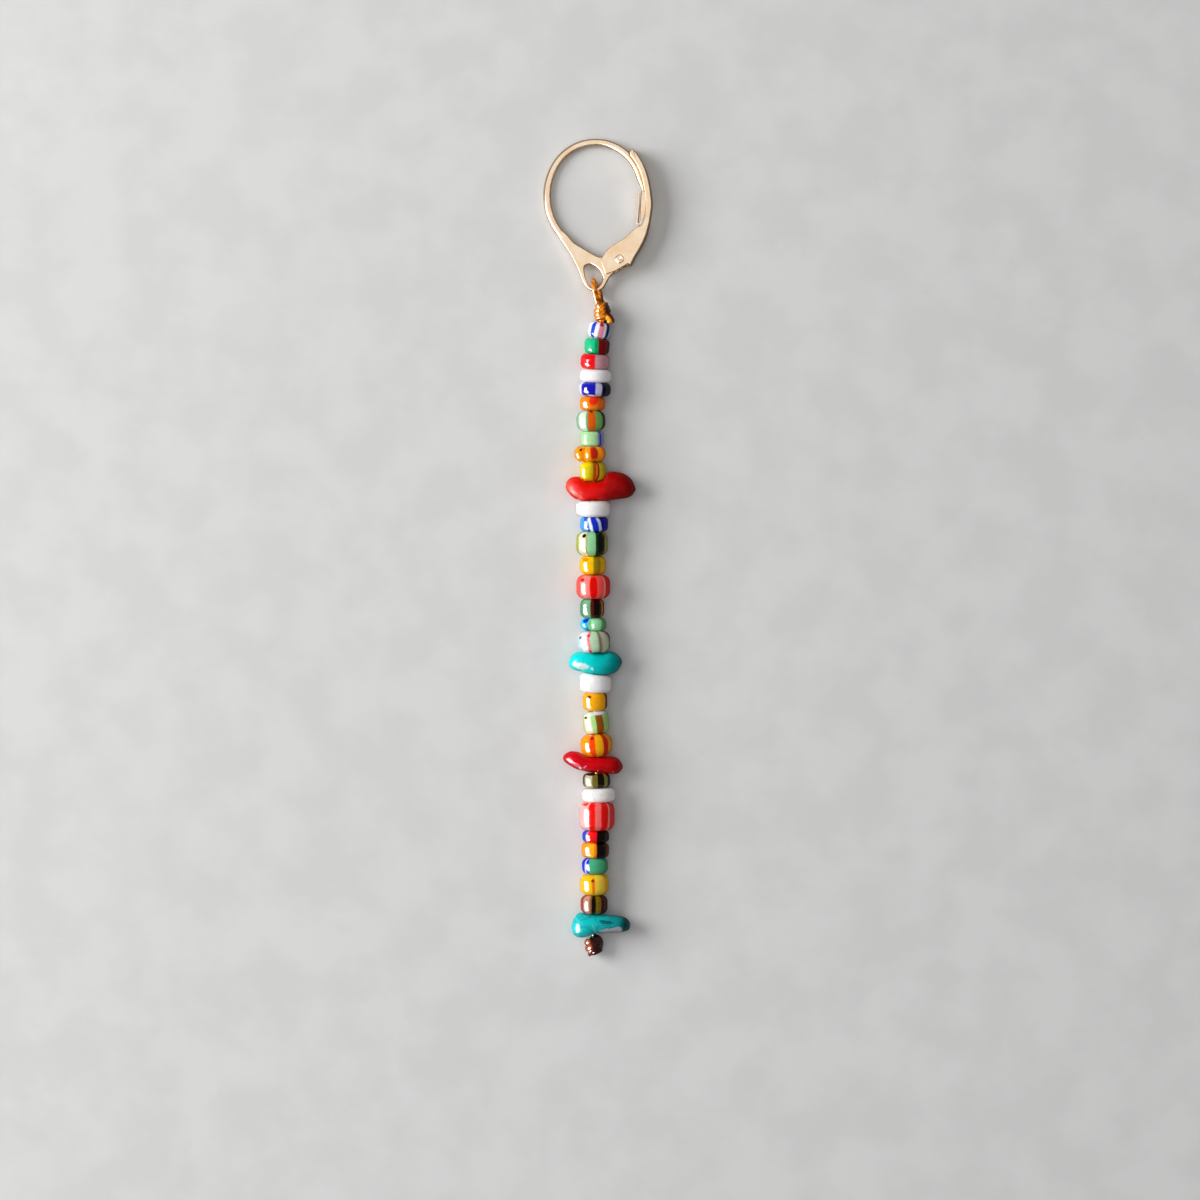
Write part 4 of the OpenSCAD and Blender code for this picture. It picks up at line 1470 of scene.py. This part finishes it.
def glass_beads() -> tuple[Bead, ...]:
    """Lists the glass beads from the top: length, diameter, lean, rim, slot and glass.

    A stripe's number is where it starts, as a fraction of the bead's width from its left. The thin dark bands
    at the right edges of many beads, and the darker right half of bead_02's green, are partly the glass's own
    colour and partly painted shade on the side away from the light.

    Returns:
        The beads.
    """
    # White glass, a little darker towards its right: a faint painted shade.
    white = CaneGlass(((0.0, "#FBF7F6"), (0.8, "#F3ECEA")), soft=0.3, milk=0.7)
    return (
        Bead("bead_01", 1.54, 2.36, -9, 0.55, Slot.WHITE, CaneGlass(
            ((0, "#F6F2F8"), (0.14, "#0A44D0"), (0.29, "#F6F2F8"), (0.45, "#E290A8"), (0.66, "#E9E2EE"),
             (0.76, "#16305E"), (0.88, "#B8B8CC")),
            (Spot((0.56, 0.1), (0.09, 0.15), "#C02058"),), slant=-0.05, roughness=(0.12, 0.22), shine=0.16)),
        Bead("bead_02", 1.48, 2.48, -5, 0.5, Slot.GREEN, CaneGlass(
            ((0, "#12C888"), (0.42, "#0A9C64"), (0.57, "#7E0408"), (0.9, "#4A0408")), slant=0.04)),
        Bead("bead_03", 1.44, 2.94, -4, 0.6, Slot.RED, CaneGlass(
            ((0, "#F00814"), (0.5, "#CE98A0")), soft=0.06)),
        Bead("bead_04", 1.23, 3.2, -2, 0.5, Slot.WHITE, white),
        Bead("bead_05", 1.3, 3.2, -3, 0.6, Slot.BLUE, CaneGlass(
            ((0, "#E8E8F4"), (0.07, "#1414B4"), (0.53, "#C4C4DA"), (0.73, "#04042E")),
            (Spot((0.4, 1.0), (0.17, 0.11), "#E8E8F4"),))),
        Bead("bead_06", 1.35, 2.56, -1, 0.6, Slot.ORANGE, CaneGlass(
            ((0, "#F88A12"), (0.7, "#F0700A")), (Spot((0.56, 0.12), (0.2, 0.52), "#F62C06", 4.0),),
            waver=0.08)),
        Bead("bead_07", 1.96, 2.9, 2, 0.9, Slot.PALE_GREEN, CaneGlass(
            ((0, "#8CBC98"), (0.09, "#E4F0E0"), (0.33, "#64AE74"), (0.4, "#E8620A"), (0.68, "#7CBA62"),
             (0.9, "#263C10")),
            (Spot((0.53, 0.02), (0.08, 0.06), "#7A1C06"),))),
        Bead("bead_08", 1.43, 2.32, 1, 0.4, Slot.PALE_GREEN, CaneGlass(
            ((0, "#AEE0A4"), (0.74, "#9090CC"), (0.82, "#4444AC"), (0.9, "#98A4C4")),
            waver=0.09, shine=0.22)),
        Bead("bead_09", 1.46, 3.36, 0, 0.8, Slot.ORANGE, CaneGlass(
            ((0, "#FFA008"), (0.76, "#FF900A"), (0.94, "#8E2004")),
            (Spot((0.63, 0.4), (0.11, 0.42), "#F02804", square=True),
             Spot((0.21, 0.2), (0.04, 0.1), "#4A1004"))),
            lobes=6, lobe_turn=-26.7, axis_at=(-0.83, 1.62)),
        Bead("bead_10", 1.9, 2.9, 0, 0.8, Slot.YELLOW, CaneGlass(
            ((0, "#EED80C"), (0.56, "#E8700A"), (0.72, "#6A1E04"), (0.78, "#C0B014"))),
            lobes=3, lobe_turn=-4, axis_at=(-0.66, 1.44)),
        Bead("bead_12", 1.51, 3.46, 0, 0.55, Slot.WHITE, white),
        Bead("bead_13", 1.37, 2.78, 0, 0.45, Slot.BLUE, CaneGlass(
            ((0, "#4CA4F0"), (0.15, "#1E5CD0"), (0.3, "#F0F4FC"), (0.41, "#1230C4"), (0.64, "#D4D4F0"),
             (0.74, "#0A149A")), slant=0.13, waver=0.09, shine=0.3)),
        Bead("bead_14", 2.37, 3.16, 0, 0.9, Slot.PALE_GREEN, CaneGlass(
            ((0, "#AEB24A"), (0.08, "#E4E8C4"), (0.3, "#C0B078"), (0.36, "#94D89E"), (0.63, "#123016"),
             (0.72, "#0A100A"), (0.91, "#94943A")),
            (Spot((0.24, 0.15), (0.065, 0.085), "#080804"),))),
        Bead("bead_15", 1.82, 2.6, 0, 0.75, Slot.YELLOW, CaneGlass(
            ((0, "#F8C406"), (0.52, "#98840A"), (0.79, "#ECB00C")),
            (Spot((0.2, 0.16), (0.14, 0.1), "#F08A06"),), soft=0.06)),
        Bead("bead_16", 2.28, 3.38, 0, 0.85, Slot.RED, CaneGlass(
            ((0, "#FF5A52"), (0.12, "#FF8A80"), (0.4, "#FF5650"), (0.82, "#FFA8A0"), (0.86, "#DC1410")),
            (Spot((0.51, 0.5), (0.11, 0.5), "#EE0404", square=True),
             Spot((0.17, 0.17), (0.065, 0.08), "#E01008")),
            roughness=(0.1, 0.2), shine=0.26)),
        Bead("bead_17", 1.83, 2.4, 0, 0.65, Slot.GREEN, CaneGlass(
            ((0, "#4E8E66"), (0.1, "#74B488"), (0.43, "#64120A"), (0.57, "#0E0604"), (0.8, "#4A200C"),
             (0.88, "#B87028"), (0.95, "#3A1C0A")))),
        Bead("bead_18", 1.23, 2.86, 0, 0.7, Slot.PALE_GREEN, CaneGlass(
            ((0, "#38C8EC"), (0.28, "#8ACE98"), (0.75, "#5C9E6A")),
            (Spot((0.16, 0.18), (0.1, 0.2), "#0838DC"), Spot((0.22, 0.14), (0.03, 0.1), "#040A18"),
             Spot((0.19, 0.84), (0.09, 0.16), "#0878B0")), shine=0.3),
            lobes=3, lobe_turn=-52, axis_at=(-0.38, 1.44)),
        Bead("bead_19", 2.13, 3.26, 1, 0.9, Slot.CREAM, CaneGlass(
            ((0, "#F2EEE8"), (0.31, "#F08090"), (0.4, "#C0E0BA"), (0.66, "#84745E"), (0.76, "#CED0B4"),
             (0.96, "#5A3C30")),
            (Spot((0.34, 0.16), (0.055, 0.08), "#E83050"), Spot((0.38, 0.92), (0.06, 0.08), "#E83050"),
             Spot((0.06, 0.58), (0.03, 0.3), "#B4DCEC"), Spot((0.085, 0.26), (0.035, 0.08), "#5080A8"),
             # The teal spot at the lower edge is a painted reflection of the turquoise chip below.
             Spot((0.1, 0.8), (0.05, 0.12), "#A8D4E8"), Spot((0.64, 0.985), (0.22, 0.06), "#1C7C68")),
            slant=0.05, soft=0.08)),
        Bead("bead_21", 1.69, 3.2, -1, 0.5, Slot.WHITE, white, wedge=6, shift=0.08, closer=0.12),
        Bead("bead_22", 1.73, 2.42, 2, 0.65, Slot.YELLOW, CaneGlass(
            ((0, "#FFB008"), (0.92, "#6E2406")), (Spot((0.25, 0.2), (0.085, 0.105), "#8A1A06"),)),
            shift=0.07, closer=0.18),
        Bead("bead_23", 2.19, 2.6, 6, 0.78, Slot.CREAM, CaneGlass(
            ((0, "#C8CC88"), (0.06, "#E4ECC8"), (0.34, "#B4E68C"), (0.5, "#9A560C"), (0.78, "#A8CC7C")),
            (Spot((0.5, -0.05), (0.8, 0.19), "#E0E8E8"), Spot((0.12, 0.22), (0.06, 0.06), "#5A2E08")),
            slant=0.03)),
        Bead("bead_24", 2.17, 3.2, 4, 1.0, Slot.ORANGE, CaneGlass(
            ((0, "#FF9C06"), (0.28, "#FF4A06"), (0.46, "#FFB40A"), (0.71, "#D02806"), (0.87, "#E8960A")),
            (Spot((0.36, 0.12), (0.05, 0.08), "#B01006"),), slant=0.03)),
        Bead("bead_26", 1.37, 2.74, 1, 0.55, Slot.DARK, CaneGlass(
            ((0, "#4E4828"), (0.08, "#C4BE98"), (0.34, "#726826"), (0.54, "#1A0406"), (0.79, "#88843A"),
             (0.91, "#120A04")),
            (Spot((0.25, 0.02), (0.2, 0.09), "#2A1A08"),))),
        Bead("bead_27", 1.31, 3.42, 2, 0.5, Slot.WHITE, white),
        Bead("bead_28", 2.78, 3.52, 0, 0.85, Slot.RED, CaneGlass(
            ((0, "#F8B8B8"), (0.26, "#FA1006"), (0.45, "#FF7270"), (0.63, "#F4140A"), (0.82, "#FF9A96"),
             (0.86, "#E83028")),
            (Spot((0.13, 0.05), (0.09, 0.06), "#F03A20"),), roughness=(0.1, 0.2), shine=0.32),
            top_raised=2.5),
        Bead("bead_29", 1.13, 2.7, 0, 0.5, Slot.DARK, CaneGlass(
            ((0, "#1444D0"), (0.13, "#C8A0D0"), (0.19, "#F4141C"), (0.55, "#0C0404"), (0.93, "#2A100A")))),
        Bead("bead_30", 1.45, 2.76, -1, 0.55, Slot.YELLOW, CaneGlass(
            ((0, "#FF9A08"), (0.2, "#FFB420"), (0.46, "#FF8400"), (0.55, "#0C0604"), (0.92, "#7A3008")))),
        Bead("bead_31", 1.52, 2.62, 2, 0.65, Slot.GREEN, CaneGlass(
            ((0, "#0C24D8"), (0.11, "#DCE8FF"), (0.15, "#0C24D8"), (0.26, "#4CAE80"), (0.85, "#3C9468")),
            waver=0.12, shine=0.25)),
        Bead("bead_32", 2.04, 2.86, 0, 0.85, Slot.YELLOW, CaneGlass(
            ((0, "#FFC40C"), (0.5, "#FFD640"), (0.86, "#F0B00C")),
            (Spot((0.475, 0.5), (0.055, 0.38), "#EE7A0A", square=True),
             Spot((0.45, 0.26), (0.055, 0.07), "#8A1404")))),
        Bead("bead_33", 1.81, 2.7, 0, 0.7, Slot.DARK, CaneGlass(
            ((0, "#9A3A34"), (0.1, "#C08C7C"), (0.33, "#946030"), (0.4, "#140604"), (0.56, "#846A08"),
             (0.77, "#400A0A")))),
    )


def stone_chips() -> tuple[Chip, ...]:
    """Lists the stone chips from the top, with their sections and colours.

    Returns:
        The chips.
    """
    return (
        Chip("coral_chip_11", (
            (-3.26, 0.44, 0.28), (-3.14, 0.86, 0), (-2.78, 1.26, -0.46), (-2.3, 1.4, -0.82),
            (-1.85, 1.35, -0.95), (-1.6, 1.16, -1), (-0.9, 0.92, -1.03), (-0.2, 0.92, -1.03),
            (0.45, 1.0, -1.03), (0.68, 1.22, -1.02), (0.8, 1.62, -1), (1.0, 1.8, -0.98),
            (1.6, 1.87, -0.9), (2.4, 1.74, -0.81), (2.96, 1.46, -0.73), (3.4, 1.03, -0.5),
            (3.66, 0.5, -0.15), (3.75, 0.22, 0.04),
        ), Slot.CORAL, TumbledStone(
            # Painted light and shade: the salmon left end is a painted highlight, the red darkens towards the
            # right end as painted shade, and the salmon spot is a painted highlight.
            ((0.0, "#F0503C"), (0.14, "#F01408"), (0.4, "#E80604"), (0.62, "#A80404"), (1.0, "#700404")),
            "#C40C0A", "#8A0A08", 0.15, (Spot((-1.9, 5.42), (0.8, 0.19), "#F2705E", -35.0),),
            roughness=(0.3, 0.44), shine=0.16), (-0.55, 1.6)),
        Chip("turquoise_chip_20", (
            (-2.93, 0.14, -0.04), (-2.8, 0.56, -0.36), (-2.42, 0.98, -0.6), (-1.9, 1.2, -0.76),
            (-1.5, 1.14, -0.82), (-0.8, 1.08, -1.03), (0, 1.07, -1.16), (0.6, 1.08, -1.18),
            (1.1, 1.2, -1.1), (1.6, 1.12, -0.95), (2, 0.88, -0.66), (2.28, 0.5, -0.25), (2.38, 0.24, 0.04),
        ), Slot.TURQUOISE, TumbledStone(
            # Painted light and shade: brighter at the left end and darker towards the right as painted shade;
            # the pale crescent and dot are painted highlights.
            ((0.0, "#14ECEC"), (0.4, "#00DEDC"), (0.65, "#00ACAA"), (1.0, "#006468")),
            "#08BCB4", "#0A8A8C", 0.15,
            (Spot((-1.52, -11.64), (0.84, 0.36), "#D8F8F4", -8.0),
             Spot((-0.42, -11.93), (0.15, 0.18), "#B4F0EC")),
            roughness=(0.08, 0.2), shine=0.22), (-0.35, 1.6)),
        Chip("coral_chip_25", (
            (-3.52, 0.74, 0.56), (-3.36, 1, 0.26), (-2.8, 1.3, -0.14), (-2.2, 1.3, -0.44),
            (-1.7, 1.13, -0.58), (-1.1, 0.82, -0.74), (-0.2, 0.8, -0.84), (0.6, 0.8, -0.88),
            (1.2, 0.82, -0.93), (1.7, 0.76, -0.93), (2.05, 0.55, -0.82), (2.33, 0.18, -0.58),
            (2.46, -0.1, -0.32),
        ), Slot.CORAL, TumbledStone(
            # Painted light and shade: the red darkens towards the right end as painted shade, and the five
            # spots are painted highlights.
            ((0.0, "#D81828"), (0.2, "#D60418"), (0.6, "#D40410"), (1.0, "#A0040C")),
            "#B80610", "#7A0A10", 0.15, (
                Spot((-2.1, -21.48), (0.75, 0.17), "#EE7080", -28.0),
                Spot((-1.58, -21.82), (0.2, 0.13), "#FFE4E4", -40.0),
                Spot((-1.1, -21.72), (0.22, 0.07), "#EE8090", 40.0),
                Spot((0.13, -22.15), (0.07, 0.08), "#F090A0"),
                Spot((1.67, -22.18), (0.07, 0.08), "#F090A0"),
            ), roughness=(0.1, 0.2), shine=0.26), (-0.14, 1.6)),
        Chip("turquoise_chip_34", (
            (-2.66, -0.28, -0.52), (-2.57, 0.04, -0.86), (-2.42, 0.42, -1.16), (-2.1, 0.92, -1.38),
            (-1.65, 1.06, -1.42), (-1.15, 0.94, -1.34), (-0.6, 0.9, -1.14), (0, 0.9, -1.0),
            (0.9, 0.86, -0.94), (1.7, 0.77, -0.91), (2.4, 0.68, -0.85), (2.85, 0.5, -0.74),
            (3.08, 0.26, -0.6), (3.2, 0, -0.34),
        ), Slot.TURQUOISE, TumbledStone(
            # Darker towards the right end: partly the stone's colour and partly painted shade on the end
            # facet turned away from the light.
            ((0.0, "#0CD0D4"), (0.4, "#08B8BA"), (0.8, "#0A9092"), (0.9, "#043C3C")),
            "#0A9C9C", "#0A5A5E", 0.35,
            (Spot((1.45, -38.14), (1.15, 0.36), "#B4B8C0", 7.0, True),
             Spot((-0.2, -37.9), (0.12, 0.5), "#40BCB8", 20.0),
             Spot((1.0, -37.2), (0.75, 0.2), "#086468", -8.0)), roughness=(0.12, 0.3)),
            (-0.42, 1.35)),
    )


def main() -> None:
    """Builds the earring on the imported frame, piece by piece, and lights it."""
    logging.basicConfig(level=logging.INFO, format="%(message)s")
    noise.seed_set(SEED)
    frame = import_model()
    LOG.info("packed nodes: %d", len(frame["nodes"]))
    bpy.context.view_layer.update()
    gold = GoldFilled().material()
    place = HookPlace().matrix()
    HookFrame(place, gold).build()
    LeverLatch(place, gold).build()
    # The amber cord's spots are painted light and shade: painted shade on the right of the top knot, its cut
    # end and the loop's right strand, a lit golden patch and two painted highlights on the knot, and painted
    # near-black shade in the gaps below the knot and above the end knot.
    amber = WaxedCord("waxed_cord_amber", "#F89410", "#8A3C04", (
        Spot((1.08, 23.8), (0.6, 0.95), "#94500C", 6.0), Spot((1.18, 23.82), (0.5, 0.88), "#481A06", 6.0),
        Spot((0.46, 25.3), (0.17, 1.0), "#5A2408"),
        Spot((1.56, 22.8), (0.26, 0.8), "#5A2406", 24.0), Spot((0.9, 22.8), (0.3, 0.42), "#FFA81A", 20.0),
        Spot((-0.43, -38.7), (0.7, 0.8), "#1C0602"), Spot((0.72, 22.58), (0.2, 0.22), "#200802"),
        Spot((-0.05, 24.2), (0.11, 0.09), "#FFF2B8", 20.0), Spot((0.0, 23.82), (0.12, 0.09), "#FFE890", 20.0),
    )).material()
    # The brown cord's spots are painted light: lighter copper on the lit left side of the end knot and on its
    # tail.
    brown = WaxedCord("waxed_cord_brown", "#3A1408", "#160604", (
        Spot((-1.08, -39.95), (0.5, 1.1), "#A84A18", 12.0), Spot((-0.7, -40.5), (0.26, 0.5), "#8A2C0A"),
    )).material()
    CordWork(amber, brown).build()
    BeadString(glass_beads(), stone_chips()).build()
    Studio().build()


if __name__ == "__main__":
    main()
